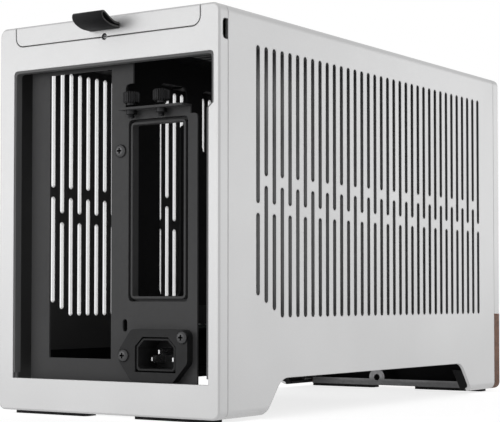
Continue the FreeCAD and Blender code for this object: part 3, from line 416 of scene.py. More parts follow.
def plainFinish(name, look):
    finish, tree, shader = newFinish(name, look["rough"][0], look["metal"], 0.2)
    grain = grainOf(tree, look["grain"], 2.0)
    cloud = grainOf(tree, look["grain"] / 14.0, 3.0)
    colour = rampOf(tree, cloud, [(0.32, look["low"]), (0.68, look["high"])])
    tree.links.new(colour, shader.inputs["Base Color"])
    tree.links.new(spanOf(tree, grain, *look["rough"]), shader.inputs["Roughness"])
    bumpOf(tree, shader, grain, look["bump"], 0.0001)
    return finish


# bright steel, drawn lengthways
steelLook = {"low": (0.52, 0.52, 0.53), "high": (0.66, 0.66, 0.67), "grain": 60.0, "draw": (30.0, 1.5, 30.0),
             "roughMean": 0.28, "rough": (0.20, 0.38), "bump": (0.05, 0.0001)}


def brightSteel():
    look = steelLook
    finish, tree, shader = newFinish("brightSteel", look["roughMean"], 1.0)
    drawn = grainOf(tree, look["grain"], 3.0, look["draw"])
    colour = rampOf(tree, drawn, [(0.3, look["low"]), (0.7, look["high"])])
    tree.links.new(colour, shader.inputs["Base Color"])
    tree.links.new(spanOf(tree, drawn, *look["rough"]), shader.inputs["Roughness"])
    bumpOf(tree, shader, drawn, *look["bump"])
    return finish


# circuit board: black mask over faint copper runs
boardLook = {"mask": (0.010, 0.014, 0.012), "copper": (0.022, 0.034, 0.028), "run": 420.0, "width": 0.06,
             "rough": 0.34, "bump": (0.2, 0.0001)}


def circuitBoard():
    finish, tree, shader = newFinish("circuitBoard", boardLook["rough"])
    runs = tree.nodes.new("ShaderNodeTexBrick")
    mask, copper = (*boardLook["mask"], 1.0), (*boardLook["copper"], 1.0)
    setSockets(runs, {"Scale": boardLook["run"], "Mortar Size": boardLook["width"], "Color1": mask,
                      "Color2": mask, "Mortar": copper})
    tree.links.new(objectPlace(tree), runs.inputs["Vector"])
    tree.links.new(runs.outputs["Color"], shader.inputs["Base Color"])
    bumpOf(tree, shader, runs.outputs["Fac"], *boardLook["bump"])
    return finish


finishes = {
    "anodised_aluminium": blastedAluminium("blastedAluminium", False),
    "powder_steel": powderCoat("powderCoat", powderLook),
    "walnut": oiledWalnut(),
    "strap_leather": strapFace(),
    "bright_steel": brightSteel(),
    "circuit_board": circuitBoard(),
}
for finishName, finishLook in plainLooks.items():
    finishes[finishName] = plainFinish(finishName, finishLook)
coverFinish = blastedAluminium("blastedCover", True)
shadedInnerFinish = powderCoat("innerPowderCoatShaded", shadedInnerPowderLook)
litRingFinish = powderCoat("ringPowderCoatLit", litRingPowderLook)
shadedFrontRailFinish = powderCoat("frontRailCoatShaded", shadedInnerPowderLook, True)
strapEdgeFinish = strapEdge()
subparts = frame["record"]["subparts"]
nodeFinishes = {subpart["node"]: finishes[subpart["material_slot"]] for subpart in subparts}
for cover in ("left_side_panel", "right_side_panel", "top_panel"):
    nodeFinishes[cover] = coverFinish
# painted shade: the parts inside the case get the darker copy of the black coat
for inner in ("spine_plate", "bottom_tray", "tray_bracket", "psu_bracket", "top_rail_left", "top_rail_right",
              "cross_bar_front", "cross_bar_rear", "riser_bracket", "front_io_bracket"):
    nodeFinishes[inner] = shadedInnerFinish
# painted light: the rear chassis ring gets the lighter copy of the black coat
nodeFinishes["rear_chassis"] = litRingFinish
# the front chassis gets the darker copy too, painted shade, with its bare zinc rail
nodeFinishes["front_chassis"] = shadedFrontRailFinish
for nodeName, finish in nodeFinishes.items():
    nodes[nodeName].data.materials.clear()
    nodes[nodeName].data.materials.append(finish)
print("finishes on", len(subparts), "nodes")


# helpers for the pieces, in millimetres until the last step
def meshObject(name, points, faces, smooth=0.0):
    mesh = bpy.data.meshes.new(name)
    mesh.from_pydata(points, [], faces)
    tidy = bmesh.new()
    tidy.from_mesh(mesh)
    bmesh.ops.recalc_face_normals(tidy, faces=tidy.faces)
    for edge in tidy.edges:
        edge.smooth = len(edge.link_faces) == 2 and edge.calc_face_angle(0.0) < math.radians(smooth)
    for face in tidy.faces:
        face.smooth = True
    tidy.to_mesh(mesh)
    tidy.free()
    return linked(name, mesh)


def addPiece(name, points, faces, body, slotName, smooth=35.0, finish=None):
    piece = meshObject(name, [Vector(point) * mm for point in points], faces, smooth)
    piece.data.materials.append(finish or finishes[slotName])
    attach(piece, body)
    return piece


def turned(profile, steps, ridge=None):
    # profile of (radius, height) spun about the height, closed if it ends where it starts;
    # ridge changes the radius round the turn
    points, faces, rings = [], [], []
    for row, (radius, height) in enumerate(profile):
        if row and profile[row] == profile[0]:
            rings.append(rings[0])
            continue
        if radius == 0.0:
            rings.append([len(points)] * steps)
            points.append((0.0, 0.0, height))
            continue
        rings.append(list(range(len(points), len(points) + steps)))
        for step in range(steps):
            angle = 2.0 * math.pi * step / steps
            size = radius + (ridge(row, step) if ridge else 0.0)
            points.append((size * math.cos(angle), size * math.sin(angle), height))
    for low, high in zip(rings, rings[1:]):
        for step in range(steps):
            after = (step + 1) % steps
            corners = [low[step], low[after], high[after], high[step]]
            faces.append(list(dict.fromkeys(corners)))
    return points, faces


def joined(*shapes):
    points, faces = [], []
    for shape in shapes:
        first = len(points)
        points += list(shape[0])
        faces += [[first + corner for corner in face] for face in shape[1]]
    return points, faces


def placed(shape, seats, way):
    # copies of a turned shape at each seat, its height along way
    turn = Vector(way).to_track_quat("Z", "X")
    points, faces = shape
    return joined(*[([turn @ Vector(point) + Vector(seat) for point in points], faces) for seat in seats])


def ringFaces(rows, count, closed=False):
    # quads between rows of count points each, and from the last row to the first if closed
    faces = []
    for row in range(rows if closed else rows - 1):
        here, there = row * count, (row + 1) % rows * count
        for corner in range(count):
            after = (corner + 1) % count
            faces.append((here + corner, here + after, there + after, there + corner))
    return faces


def brick(low, high, ease=0.0):
    # block with its upper edges eased
    x0, y0, z0 = low
    x1, y1, z1 = high
    points = []
    for inset, z in ((0.0, z0), (0.0, z1 - ease), (ease, z1)):
        left, right, near, far = x0 + inset, x1 - inset, y0 + inset, y1 - inset
        points += [(left, near, z), (right, near, z), (right, far, z), (left, far, z)]
    return points, [(3, 2, 1, 0)] + ringFaces(3, 4) + [(8, 9, 10, 11)]


def boxOf(nodeName):
    return [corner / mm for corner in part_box(nodeName)]


# rounded ends of the punched slots
slotLook = {"width": 3.5, "pitch": 8.0, "first": 128.1, "count": 35, "arc": 6, "sheet": 2.0}
sideSlotLook = {"face": 76.5, "low": 54.2, "top": 200.0, "bridge": 5.3, "gaps": (110.1, 125.0), "step": 4.0,
                "stepped": 3}
lidSlotLook = {"face": 218.0, "reach": 51.0}


def slotCorner(along, across, corner, alongWay, acrossWay, lift):
    # wedge between the square corner and the round end; lift turns flat places into points
    radius = slotLook["width"] / 2.0
    arc = slotLook["arc"]
    flat = [corner]
    for step in range(arc + 1):
        angle = math.pi / 2.0 * step / arc
        flat.append((along - alongWay * radius * (1.0 - math.sin(angle)),
                     across + acrossWay * radius * math.cos(angle)))
    count = len(flat)
    points = [lift(place, 0.0) for place in flat] + [lift(place, slotLook["sheet"]) for place in flat]
    faces = []
    for step in range(1, count - 1):
        faces.append((0, step, step + 1))
        faces.append((count, count + step + 1, count + step))
        faces.append((step, step + 1, count + step + 1, count + step))
    return points, faces


def slotEnds(name, runs, lift, body):
    radius = slotLook["width"] / 2.0
    corners = []
    for across, low, high in runs:
        for end, endWay in ((low, -1.0), (high, 1.0)):
            for acrossWay in (-1.0, 1.0):
                square = (end, across + acrossWay * radius)
                corners.append(slotCorner(end, across, square, endWay, acrossWay, lift))
    points, faces = joined(*corners)
    addPiece(name, points, faces, body, "anodised_aluminium", finish=coverFinish)


sideRuns, lidRuns = [], []
for index in range(slotLook["count"]):
    slotY = slotLook["first"] - index * slotLook["pitch"]
    slotLow = sideSlotLook["low"] + sideSlotLook["step"] * max(0, sideSlotLook["stepped"] - index)
    slotGap = sideSlotLook["gaps"][index % 2]
    sideRuns.append((slotY, slotLow, slotGap))
    sideRuns.append((slotY, slotGap + sideSlotLook["bridge"], sideSlotLook["top"]))
    lidRuns.append((slotY, -lidSlotLook["reach"], lidSlotLook["reach"]))
panelSides = {"left_panel": -1.0, "right_panel": 1.0}
for sideBody, sideWay in panelSides.items():
    slotEnds(sideBody + "_slotEnds", sideRuns,
             lambda place, depth: (sideWay * (sideSlotLook["face"] - depth), place[1], place[0]), sideBody)
slotEnds("lid_slotEnds", lidRuns,
         lambda place, depth: (place[0], place[1], lidSlotLook["face"] - depth), "lid")
print("slot ends rounded:", 2 * len(sideRuns) + len(lidRuns), "slots")

# dark returns inside both covers, folded along the sloping ends of the arch, in the darker inner coat that is
# painted shade
archLook = {"ends": ((-133.5, -117.5), (120.5, 104.5)), "base": 2.0, "rise": 19.3, "start": 0.4, "stop": 18.6,
            "face": 74.5, "deep": 7.0, "thick": 1.2, "setBack": 0.35, "tab": 7.0, "ease": 0.2, "bend": 0.8}


def archReturn(yLow, yHigh, sideWay):
    look = archLook
    # section of (distance from the cut edge, depth into the case), swept up the slope
    edge, thick, deep = look["setBack"], look["thick"], look["deep"]
    ease, bend = look["ease"], look["bend"]
    inner = edge + thick
    tabEnd = edge + look["tab"]
    section = [(edge, 0.0), (edge, deep - ease), (edge + ease, deep), (inner - ease, deep),
               (inner, deep - ease), (inner, thick + bend), (inner + bend * 0.3, thick + bend * 0.3),
               (inner + bend, thick), (tabEnd, thick), (tabEnd, 0.0)]
    along = Vector((yHigh - yLow, look["rise"])).normalized()
    away = Vector((-along.y, along.x)) if yHigh > yLow else Vector((along.y, -along.x))
    points = []
    for climb in (look["start"], look["stop"]):
        for gap, depth in section:
            spot = Vector((yLow, look["base"])) + along * climb + away * gap
            points.append((sideWay * (look["face"] - depth), spot.x, spot.y))
    count = len(section)
    return points, [tuple(range(count)), tuple(range(count, 2 * count))] + ringFaces(2, count)


for sideBody, sideWay in panelSides.items():
    returns = joined(*[archReturn(yLow, yHigh, sideWay) for yLow, yHigh in archLook["ends"]])
    addPiece(sideBody + "_archReturns", *returns, sideBody, "powder_steel", finish=shadedInnerFinish)
print("arch returns made")

# pull strap: one closed band round the bar, out through the lip and folded back at its end
strapLook = {
    "width": 20.5,
    "thick": 1.3,
    "ease": 0.18,
    "bend": 7,
    "line": [(156.80, 212.20), (157.45, 213.80), (159.05, 214.42), (160.70, 213.75), (162.20, 213.14),
             (164.50, 213.10), (167.60, 213.30), (170.80, 214.55), (174.00, 216.35), (176.20, 217.50),
             (177.50, 217.65), (178.30, 216.90), (178.32, 215.60), (177.45, 214.25), (175.30, 212.90),
             (172.60, 211.95), (169.80, 211.42), (167.00, 211.31), (164.50, 211.30), (162.20, 211.26),
             (160.70, 210.65), (159.05, 209.98), (157.45, 210.60)],
}


def smoothLoop(line, bend):
    # closed curve through the points
    count = len(line)
    loop = []
    for index in range(count):
        before, start, end, after = [Vector(line[(index + move) % count]) for move in (-1, 0, 1, 2)]
        for step in range(bend):
            t = step / bend
            loop.append(0.5 * (2.0 * start + (end - before) * t
                               + (2.0 * before - 5.0 * start + 4.0 * end - after) * t * t
                               + (3.0 * start - before - 3.0 * end + after) * t * t * t))
    return loop


def pullStrap():
    loop = smoothLoop(strapLook["line"], strapLook["bend"])
    half = strapLook["width"] / 2.0
    thin = strapLook["thick"] / 2.0
    ease = strapLook["ease"]
    section = [(-half, -thin + ease), (-half, thin - ease), (-half + ease, thin), (half - ease, thin),
               (half, thin - ease), (half, -thin + ease), (half - ease, -thin), (-half + ease, -thin)]
    points = []
    for index, spot in enumerate(loop):
        along = (loop[(index + 1) % len(loop)] - loop[index - 1]).normalized()
        for side, rise in section:
            points.append((side, spot.x - along.y * rise, spot.y + along.x * rise))
    faces = ringFaces(len(loop), len(section), True)
    strap = addPiece("pullStrap", points, faces, "lid", "strap_leather", 50.0)
    strap.data.materials.append(strapEdgeFinish)
    for index, polygon in enumerate(strap.data.polygons):
        if index % len(section) in (0, 4):  # the two cut edges
            polygon.material_index = 1
    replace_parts(strap, "pull_tab")


pullStrap()
print("pull strap made")

# cross-recess screws with rolled threads
screwLook = {
    "pitch": 0.5, "threadDepth": 0.22, "crossArm": 0.58, "crossWidth": 0.18, "crossDepth": 0.62,
    "crossTaper": (0.62, 1.02), "dome": [(1.0, 0.35), (0.93, 0.66), (0.76, 0.88), (0.5, 0.98), (0.0, 1.0)],
    "ease": 0.12, "steps": 32,
}


def threadProfile(radius, start, end):
    rows = []
    count = max(1, round((end - start) / screwLook["pitch"]))
    for turn in range(count):
        height = start + (end - start) * turn / count
        rows.append((radius - screwLook["threadDepth"], height))
        rows.append((radius, height + (end - start) / count / 2.0))
    rows.append((radius - screwLook["threadDepth"], end))
    return rows


def crossCutter(radius, top):
    arm = radius * screwLook["crossArm"]
    wide = radius * screwLook["crossWidth"]
    cross = [(arm, -wide), (arm, wide), (wide, wide), (wide, arm), (-wide, arm), (-wide, wide), (-arm, wide),
             (-arm, -wide), (-wide, -wide), (-wide, -arm), (wide, -arm), (wide, -wide)]
    heights = (top - radius * screwLook["crossDepth"], top + radius)
    points = []
    for height, taper in zip(heights, screwLook["crossTaper"]):
        points += [(x * taper, y * taper, height) for x, y in cross]
    count = len(cross)
    return points, [tuple(reversed(range(count))), tuple(range(count, 2 * count))] + ringFaces(2, count)


def carved(shape, cutter):
    # shape with the cutter taken out of it
    solid, tool = [meshObject("scratch", *form) for form in (shape, cutter)]
    cut = solid.modifiers.new("cut", "BOOLEAN")
    cut.operation = "DIFFERENCE"
    cut.solver = "EXACT"
    cut.object = tool
    result = bpy.data.meshes.new_from_object(solid.evaluated_get(bpy.context.evaluated_depsgraph_get()))
    points = [vertex.co[:] for vertex in result.vertices]
    faces = [list(polygon.vertices) for polygon in result.polygons]
    for scratch in (solid, tool):
        bpy.data.objects.remove(scratch)
    return points, faces


def panScrew(headRadius, headHeight, shankRadius, shankLength):
    # seat at height 0, head above it
    shank = [(0.0, -shankLength), (shankRadius - 0.5, -shankLength)]
    shank += threadProfile(shankRadius, -shankLength + 0.3, -0.1)
    head = [(headRadius - screwLook["ease"], 0.0), (headRadius, screwLook["ease"])]
    head += [(headRadius * width, headHeight * rise) for width, rise in screwLook["dome"]]
    body = turned(shank + [(shankRadius - 0.1, 0.0)] + head, screwLook["steps"])
    return carved(body, crossCutter(headRadius, headHeight))


def looseBoxes(nodeName):
    # low and high corner of each separate solid of a node, in millimetres
    scan = bmesh.new()
    scan.from_mesh(nodes[nodeName].data)
    bmesh.ops.remove_doubles(scan, verts=scan.verts, dist=1e-6)
    left = set(scan.verts)
    boxes = []
    while left:
        stack = [left.pop()]
        found = []
        while stack:
            vertex = stack.pop()
            found.append(vertex.co / mm)
            for edge in vertex.link_edges:
                other = edge.other_vert(vertex)
                if other in left:
                    left.remove(other)
                    stack.append(other)
        low = Vector([min(point[axis] for point in found) for axis in range(3)])
        high = Vector([max(point[axis] for point in found) for axis in range(3)])
        boxes.append((low, high))
    scan.free()
    return sorted(boxes, key=lambda box: tuple(box[0]))


# head is radius and height, stand is how far the solid's top lies above the seat
screwNodes = {
    "io_plate_screws": {"head": (3.6, 1.8), "stand": 1.8, "shank": 1.4, "body": "spine", "way": (0, 1, 0),
                        "plating": "satin_screw"},
    "inlet_screws": {"head": (3.5, 1.9), "stand": 0.4, "shank": 1.4, "body": "spine", "way": (0, 1, 0),
                     "plating": "satin_screw"},
    "top_lock_screw": {"head": (1.6, 1.4), "stand": 1.4, "shank": 1.2, "body": "chassis", "way": (0, 1, 0),
                       "plating": "zinc_screw"},
    "spine_lock_screws": {"head": (2.8, 1.6), "stand": 1.6, "shank": 1.4, "body": "spine", "way": (0, 0, 1),
                          "plating": "black_screw"},
}
for nodeName, look in screwNodes.items():
    axis = look["way"].index(1)
    seats = []
    for low, high in looseBoxes(nodeName):
        seat = (low + high) / 2.0
        seat[axis] = high[axis] - look["stand"]
        seats.append(seat)
        shankLength = seat[axis] - low[axis]
    shape = placed(panScrew(*look["head"], look["shank"], shankLength), seats, look["way"])
    piece = addPiece(nodeName.replace("_", "-"), *shape, look["body"], "black_screw",
                     finish=finishes[look["plating"]])
    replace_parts(piece, nodeName)
print("screws made:", len(screwNodes), "sets")

# thumbscrews on the card ledge: straight knurl, shoulder and thread
thumbLook = {
    "radius": 4.7, "height": 6.2, "lift": 2.6, "shank": 1.75, "tail": 5.5, "knurls": 20, "knurl": 0.5,
    "collar": 0.9, "dish": 0.5, "cross": 0.62,
    "nut": [(1.8, -3.5), (2.7, -3.5), (2.9, -3.3), (2.9, -1.2), (1.8, -1.2), (1.8, -3.5)], "nutSteps": 24,
}


def thumbScrew():
    look = thumbLook
    low = look["lift"]
    high = low + look["height"]
    radius = look["radius"]
    shank, tail, floor = look["shank"], look["tail"], high - look["dish"]
    collar = shank + look["collar"]
    rows = [(0.0, -tail), (shank - 0.5, -tail)]
    rows += threadProfile(shank, -tail + 0.4, low - 1.2)
    rows += [(collar, low - 1.1), (collar, low), (radius - 0.9, low)]
    first = len(rows)
    rows += [(radius - 0.3, low + 0.5), (radius, low + 0.8), (radius, high - 0.9), (radius - 0.3, high - 0.5)]
    last = len(rows)
    rows += [(radius - 1.0, high), (radius - 1.6, high), (radius - 1.9, floor), (0.0, floor)]

    def knurl(row, step):
        return -look["knurl"] if first <= row < last and step % 4 in (0, 1) else 0.0

    body = turned(rows, 4 * look["knurls"], knurl)
    return carved(body, crossCutter(radius * look["cross"], floor))


for nodeName in ("thumbscrew_inner", "thumbscrew_outer"):
    low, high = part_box(nodeName)
    seat = (low + high) / 2.0 / mm
    seat.z = low.z / mm + thumbLook["tail"]
    shape = placed(thumbScrew(), [seat], (0, 0, 1))
    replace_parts(addPiece(nodeName.replace("_", "-"), *shape, "spine", "black_screw"), nodeName)
    shape = placed(turned(thumbLook["nut"], thumbLook["nutSteps"]), [seat], (0, 0, 1))
    addPiece(nodeName.replace("_", "-") + "-nut", *shape, "spine", "black_screw")
print("thumbscrews made")

# mains inlet: sleeve inside the mouth and blades with chamfered tips
inletLook = {
    "wide": (-45.65, -18.55), "tall": (25.3, 44.1), "gap": 0.7, "wall": 1.1, "lip": 0.25, "front": 159.5,
    "back": 143.0, "chamfer": 4.6, "foot": 1.2, "tip": 0.62, "slant": 1.6,
}


def mouthRing(inset):
    # outline of the mouth, set in, from the lower left corner round
    look = inletLook
    left, right = look["wide"][0] + inset, look["wide"][1] - inset
    floor, roof = look["tall"][0] + inset, look["tall"][1] - inset
    slope = look["chamfer"] - inset * 0.41
    foot = look["foot"]
    return [(left + foot, floor), (right - foot, floor), (right, floor + foot), (right, roof - slope),
            (right - slope, roof), (left + slope, roof), (left, roof - slope), (left, floor + foot)]


sleeveOuter = inletLook["gap"]
sleeveInner = sleeveOuter + inletLook["wall"]
lip, front, back = inletLook["lip"], inletLook["front"], inletLook["back"]
sleeveRows = [(mouthRing(sleeveOuter), back), (mouthRing(sleeveOuter), front - lip),
              (mouthRing(sleeveOuter + lip), front), (mouthRing(sleeveInner - lip), front),
              (mouthRing(sleeveInner), front - lip), (mouthRing(sleeveInner), back)]
sleevePoints = [(x, y, z) for ring, y in sleeveRows for x, z in ring]
addPiece("inletSleeve", sleevePoints, ringFaces(len(sleeveRows), 8, True), "spine", "moulded_black")


def inletBlades():
    blades = []
    tip = inletLook["tip"]
    for low, high in looseBoxes("inlet_pins"):
        x0, y0, z0 = low
        x1, y1, z1 = high
        rows = [(0.0, y0), (0.0, y1 - 2.4), (tip * 0.7, y1 - 1.0), (tip, y1)]
        points = []
        for inset, y in rows:
            left, right = x0 + inset, x1 - inset
            floor, roof = z0 + inset * inletLook["slant"], z1 - inset * inletLook["slant"]
            points += [(left, y, floor), (right, y, floor), (right, y, roof), (left, y, roof)]
        blades.append((points, [(3, 2, 1, 0), (12, 13, 14, 15)] + ringFaces(len(rows), 4)))
    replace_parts(addPiece("inletBlades", *joined(*blades), "spine", "bright_steel", 10.0), "inlet_pins")


inletBlades()
print("mains inlet made")

# turned snap studs on the covers, and the sockets they press into
snapLook = {
    "stud": [(0.0, 0.0), (2.2, 0.0), (2.2, 0.9), (1.9, 1.2), (1.45, 1.5), (1.45, 3.6), (1.8, 4.1),
             (2.12, 4.7), (2.2, 5.2), (2.05, 5.7), (1.6, 6.2), (0.9, 6.5), (0.0, 6.5)],
    "socket": [(2.7, 0.0), (4.2, 0.0), (4.5, 0.3), (4.5, 2.7), (4.3, 3.0), (3.7, 3.2), (3.5, 4.0), (2.9, 4.0),
               (2.5, 3.5), (2.5, 0.5), (2.7, 0.0)],
    "slit": 0.5,
    "slitRows": (3, 6),
    "slitEvery": 8,
    "steps": 32,
}
studNodes = {
    "left_snap_studs": ("left_panel", (1, 0, 0)),
    "right_snap_studs": ("right_panel", (-1, 0, 0)),
    "top_snap_studs": ("lid", (0, 0, -1)),
}


def seatOf(low, high, way):
    # middle of the side of a box that its way starts from
    size = high - low
    return Vector([(low[axis] + high[axis] - way[axis] * size[axis]) / 2.0 for axis in range(3)])


for nodeName, (body, way) in studNodes.items():
    seats = [seatOf(low, high, way) for low, high in looseBoxes(nodeName)]
    shape = placed(turned(snapLook["stud"], snapLook["steps"]), seats, way)
    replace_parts(addPiece(nodeName.replace("_", "-"), *shape, body, "bright_steel"), nodeName)


def socketSlit(row, step):
    # four slits let the collar of the socket spring
    first, last = snapLook["slitRows"]
    return -snapLook["slit"] if first <= row <= last and step % snapLook["slitEvery"] == 0 else 0.0


sockets = []
socketForm = turned(snapLook["socket"], snapLook["steps"], socketSlit)
for low, high in looseBoxes("snap_sockets"):
    way = (1, 0, 0) if low.x < 0.0 else (-1, 0, 0)
    if high.z - low.z < high.x - low.x:
        way = (0, 0, -1)
    sockets.append(placed(socketForm, [seatOf(low, high, way)], way))
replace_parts(addPiece("snap-sockets", *joined(*sockets), "chassis", "moulded_black"), "snap_sockets")
print("snap studs and sockets made:", len(sockets))

# card riser: springs along the groove, its key, and chip capacitors on the board
riserLook = {
    "pitch": 1.0, "end": 3.0, "groove": 0.9, "spring": 0.22, "wide": 0.55, "drop": (4.2, 0.9),
    "keyAfter": 11, "keyHalf": 0.8, "keyDrop": (7.9, 0.2), "chips": 14, "chipFirst": (1.9, 8.0),
    "chipPitch": 6.4,
}
chipLook = {"long": 1.6, "wide": 0.8, "high": 0.7, "cap": 0.35, "inset": 0.2, "proud": 0.03,
            "ease": (0.06, 0.08)}


def chipRow(places, top):
    # bodies and end caps of chip capacitors that lie along y on a board
    bodies, caps = [], []
    long, wide = chipLook["long"] / 2.0, chipLook["wide"] / 2.0
    inset, proud, cap = chipLook["inset"], chipLook["proud"], chipLook["cap"]
    roof = top + chipLook["high"]
    bodyEase, capEase = chipLook["ease"]
    for x, y in places:
        bodies.append(brick((x - wide, y - long + inset, top), (x + wide, y + long - inset, roof), bodyEase))
        for start in (y - long, y + long - cap):
            caps.append(brick((x - wide - proud, start, top), (x + wide + proud, start + cap, roof + proud),
                              capEase))
    return joined(*bodies), joined(*caps)


socketLow, socketHigh = boxOf("riser_socket")
boardLow, boardHigh = boxOf("riser_board")
grooveX = (socketLow.x + socketHigh.x) / 2.0
springs = []
springRun = socketHigh.y - socketLow.y - 2.0 * riserLook["end"]
springY = [socketLow.y + riserLook["end"] + step * riserLook["pitch"]
           for step in range(int(springRun / riserLook["pitch"]) + 1)]
keyY = springY[-1 - riserLook["keyAfter"]]
springLow, springHigh = [socketHigh.z - drop for drop in riserLook["drop"]]
springHalf = riserLook["wide"] / 2.0
for y in springY:
    if abs(y - keyY) < 1.5 * riserLook["pitch"]:
        continue
    for side in (-1.0, 1.0):
        edges = sorted((grooveX + side * (riserLook["groove"] - riserLook["spring"]),
                        grooveX + side * (riserLook["groove"] + 0.1)))
        springs.append(brick((edges[0], y - springHalf, springLow),
                             (edges[1], y + springHalf, springHigh), 0.08))
addPiece("riserSprings", *joined(*springs), "spine", "standoff_brass")
keyLow, keyHigh = [socketHigh.z - drop for drop in riserLook["keyDrop"]]
key = brick((grooveX - riserLook["groove"], keyY - riserLook["keyHalf"], keyLow),
            (grooveX + riserLook["groove"], keyY + riserLook["keyHalf"], keyHigh), 0.2)
addPiece("riserKey", *key, "spine", "moulded_black")
chipX, chipY = boardLow.x + riserLook["chipFirst"][0], boardLow.y + riserLook["chipFirst"][1]
riserChips = [(chipX, chipY + riserLook["chipPitch"] * step) for step in range(riserLook["chips"])]
chipBodies, chipCaps = chipRow(riserChips, boardHigh.z)
addPiece("riserChips", *chipBodies, "spine", "moulded_black")
addPiece("riserChipCaps", *chipCaps, "spine", "bright_steel")
print("riser made:", len(springs), "springs")

# front board: shrouded header with its pins, a hub chip on legs and chip capacitors
headerLook = {"x": 20.0, "y": -154.6, "long": 23.0, "wide": 6.4, "high": 7.0, "wall": 0.8, "floor": 1.6,
              "notch": 2.2, "columns": 10, "pitch": 2.0, "pin": 0.32, "pinHigh": 6.0, "ease": 0.15}
hubLook = {"x": -6.0, "y": -155.5, "half": 3.0, "high": 0.9, "legs": 9, "leg": 0.14, "legPitch": 0.6,
           "legEnds": (-0.1, 0.7), "legHigh": 0.3,
           "dot": [(0.45, 0.0), (0.45, 0.02), (0.3, 0.04), (0.0, 0.04)]}
ioChipLook = {"first": (-16.0, -152.5), "step": (3.0, 4.0), "count": 5,
              "loose": [(2.0, -152.0), (2.0, -157.5)]}
ioHigh = boxOf("front_io_board")[1]


def header():
    look = headerLook
    midX, midY = look["x"], look["y"]
    x0, x1 = midX - look["long"] / 2.0, midX + look["long"] / 2.0
    y0, y1 = midY - look["wide"] / 2.0, midY + look["wide"] / 2.0
    wall, ease, notch = look["wall"], look["ease"], look["notch"]
    low, top, pinTop = ioHigh.z, ioHigh.z + look["high"], ioHigh.z + look["pinHigh"]
    walls = [brick((x0, y0, low), (x1, y0 + wall, top), ease),
             brick((x0, y1 - wall, low), (midX - notch, y1, top), ease),
             brick((midX + notch, y1 - wall, low), (x1, y1, top), ease),
             brick((x0, y0 + wall, low), (x0 + wall, y1 - wall, top), ease),
             brick((x1 - wall, y0 + wall, low), (x1, y1 - wall, top), ease),
             brick((x0, y0, low), (x1, y1, low + look["floor"]), 0.05)]
    pins = []
    thin, last = look["pin"], look["columns"] - 1
    for column in range(look["columns"]):
        for row in (-1.0, 1.0):
            x, y = midX + (column - last / 2.0) * look["pitch"], midY + row
            if (column, row) != (last, 1.0):  # one pin is left out as a key
                pins.append(brick((x - thin, y - thin, low), (x + thin, y + thin, pinTop), ease))
    return joined(*walls), joined(*pins)


def hubChip():
    look = hubLook
    x, y, half = look["x"], look["y"], look["half"]
    low, thin = ioHigh.z, look["leg"]
    roof, legTop = low + look["high"], low + look["legHigh"]
    case = brick((x - half, y - half, low + 0.1), (x + half, y + half, roof), 0.12)
    dot = placed(turned(look["dot"], 16), [(x - half + 1.0, y + half - 1.0, roof)], (0, 0, 1))
    legs = []
    for step in range(look["legs"]):
        slide = (step - (look["legs"] - 1) / 2.0) * look["legPitch"]
        for side in (-1.0, 1.0):
            near, far = sorted(side * (half + end) for end in look["legEnds"])
            legs.append(brick((x + near, y + slide - thin, low), (x + far, y + slide + thin, legTop), 0.1))
            legs.append(brick((x + slide - thin, y + near, low), (x + slide + thin, y + far, legTop), 0.1))
    return joined(case, dot), joined(*legs)


headerShell, headerPins = header()
addPiece("ioHeader", *headerShell, "chassis", "moulded_black")
addPiece("ioHeaderPins", *headerPins, "chassis", "standoff_brass")
hubCase, hubLegs = hubChip()
addPiece("ioHub", *hubCase, "chassis", "moulded_black")
addPiece("ioHubLegs", *hubLegs, "chassis", "bright_steel")
chipX, chipY = ioChipLook["first"]
stepX, stepY = ioChipLook["step"]
ioChips = [(chipX - stepX * step, chipY - stepY * (step % 2)) for step in range(ioChipLook["count"])]
ioChips += ioChipLook["loose"]
chipBodies, chipCaps = chipRow(ioChips, ioHigh.z)
addPiece("ioChips", *chipBodies, "chassis", "moulded_black")
addPiece("ioChipCaps", *chipCaps, "chassis", "bright_steel")
print("front board dressed")

# screws through the bulkhead into the front panel and the wooden strip
bulkheadLook = {"face": -172.4, "x": 60.0, "heights": (44.0, 75.0, 197.0), "head": (2.8, 1.6),
                "shank": (1.4, 2.4)}
bulkheadSeats = [(side * bulkheadLook["x"], bulkheadLook["face"], height)
                 for side in (-1.0, 1.0) for height in bulkheadLook["heights"]]
bulkheadScrew = panScrew(*bulkheadLook["head"], *bulkheadLook["shank"])
addPiece("bulkheadScrews", *placed(bulkheadScrew, bulkheadSeats, (0, 1, 0)), "chassis", "black_screw")

# power button: dished cap with turned rings, lip and stem
buttonLook = {
    "stem": 2.0, "lip": 7.2, "cap": 6.0, "stemEnd": 5.8, "lipEnd": 6.6, "face": 9.8, "dish": 0.35,
    "rings": 7, "rim": 0.9, "groove": (0.2, 0.03), "steps": 64,
}


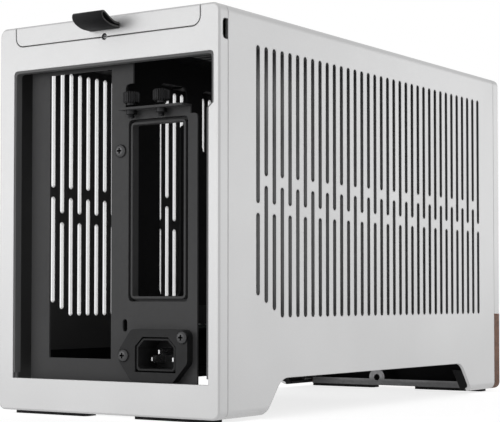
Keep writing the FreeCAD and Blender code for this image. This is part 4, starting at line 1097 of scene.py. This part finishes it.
def buttonRows():
    look = buttonLook
    stem, lip, cap, face = [look[size] for size in ("stem", "lip", "cap", "face")]
    stemEnd, lipEnd = look["stemEnd"], look["lipEnd"]
    rows = [(0.0, 0.0), (stem - 0.3, 0.0), (stem, 0.3), (stem, stemEnd), (lip, stemEnd), (lip, lipEnd),
            (cap, lipEnd), (cap, face - 0.45), (cap - 0.15, face - 0.15), (cap - 0.45, face)]
    grooveWide, grooveDeep = look["groove"]
    for ring in range(look["rings"]):
        radius = (cap - look["rim"]) * (1.0 - ring / look["rings"])
        depth = look["dish"] * (1.0 - (radius / cap) ** 2)
        rows += [(radius, face - depth), (radius - grooveWide, face - depth - grooveDeep)]
    return rows + [(0.0, face - look["dish"])]


buttonSeat = seatOf(*boxOf("power_button"), (0, -1, 0))
buttonShape = placed(turned(buttonRows(), buttonLook["steps"]), [buttonSeat], (0, -1, 0))
buttonPiece = addPiece("powerButton", *buttonShape, "button", "bright_steel", 25.0,
                       finishes["anodised_aluminium"])
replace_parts(buttonPiece, "power_button")
print("button and bulkhead screws made")

# contacts on the tongues of the ports: under the wide ones, on both sides of the narrow one
wideContacts = {"count": 4, "pitch": 2.3, "wide": 1.0, "long": 7.5, "sides": (0,)}
contactLook = {
    "usb_a_tongue_left": wideContacts,
    "usb_a_tongue_right": wideContacts,
    "usb_c_tongue": {"count": 10, "pitch": 0.5, "wide": 0.26, "long": 4.5, "sides": (0, 1)},
}
contactSeat = {"start": 0.4, "half": 0.08, "ease": 0.03}
contacts = []
for nodeName, look in contactLook.items():
    low, high = boxOf(nodeName)
    start, half, wide = low.y + contactSeat["start"], contactSeat["half"], look["wide"] / 2.0
    for step in range(look["count"]):
        x = (low.x + high.x) / 2.0 + (step - (look["count"] - 1) / 2.0) * look["pitch"]
        for side in look["sides"]:
            level = (low.z, high.z)[side]
            contacts.append(brick((x - wide, start, level - half),
                                  (x + wide, start + look["long"], level + half), contactSeat["ease"]))
addPiece("usbContacts", *joined(*contacts), "chassis", "standoff_brass")
print("port contacts made:", len(contacts))
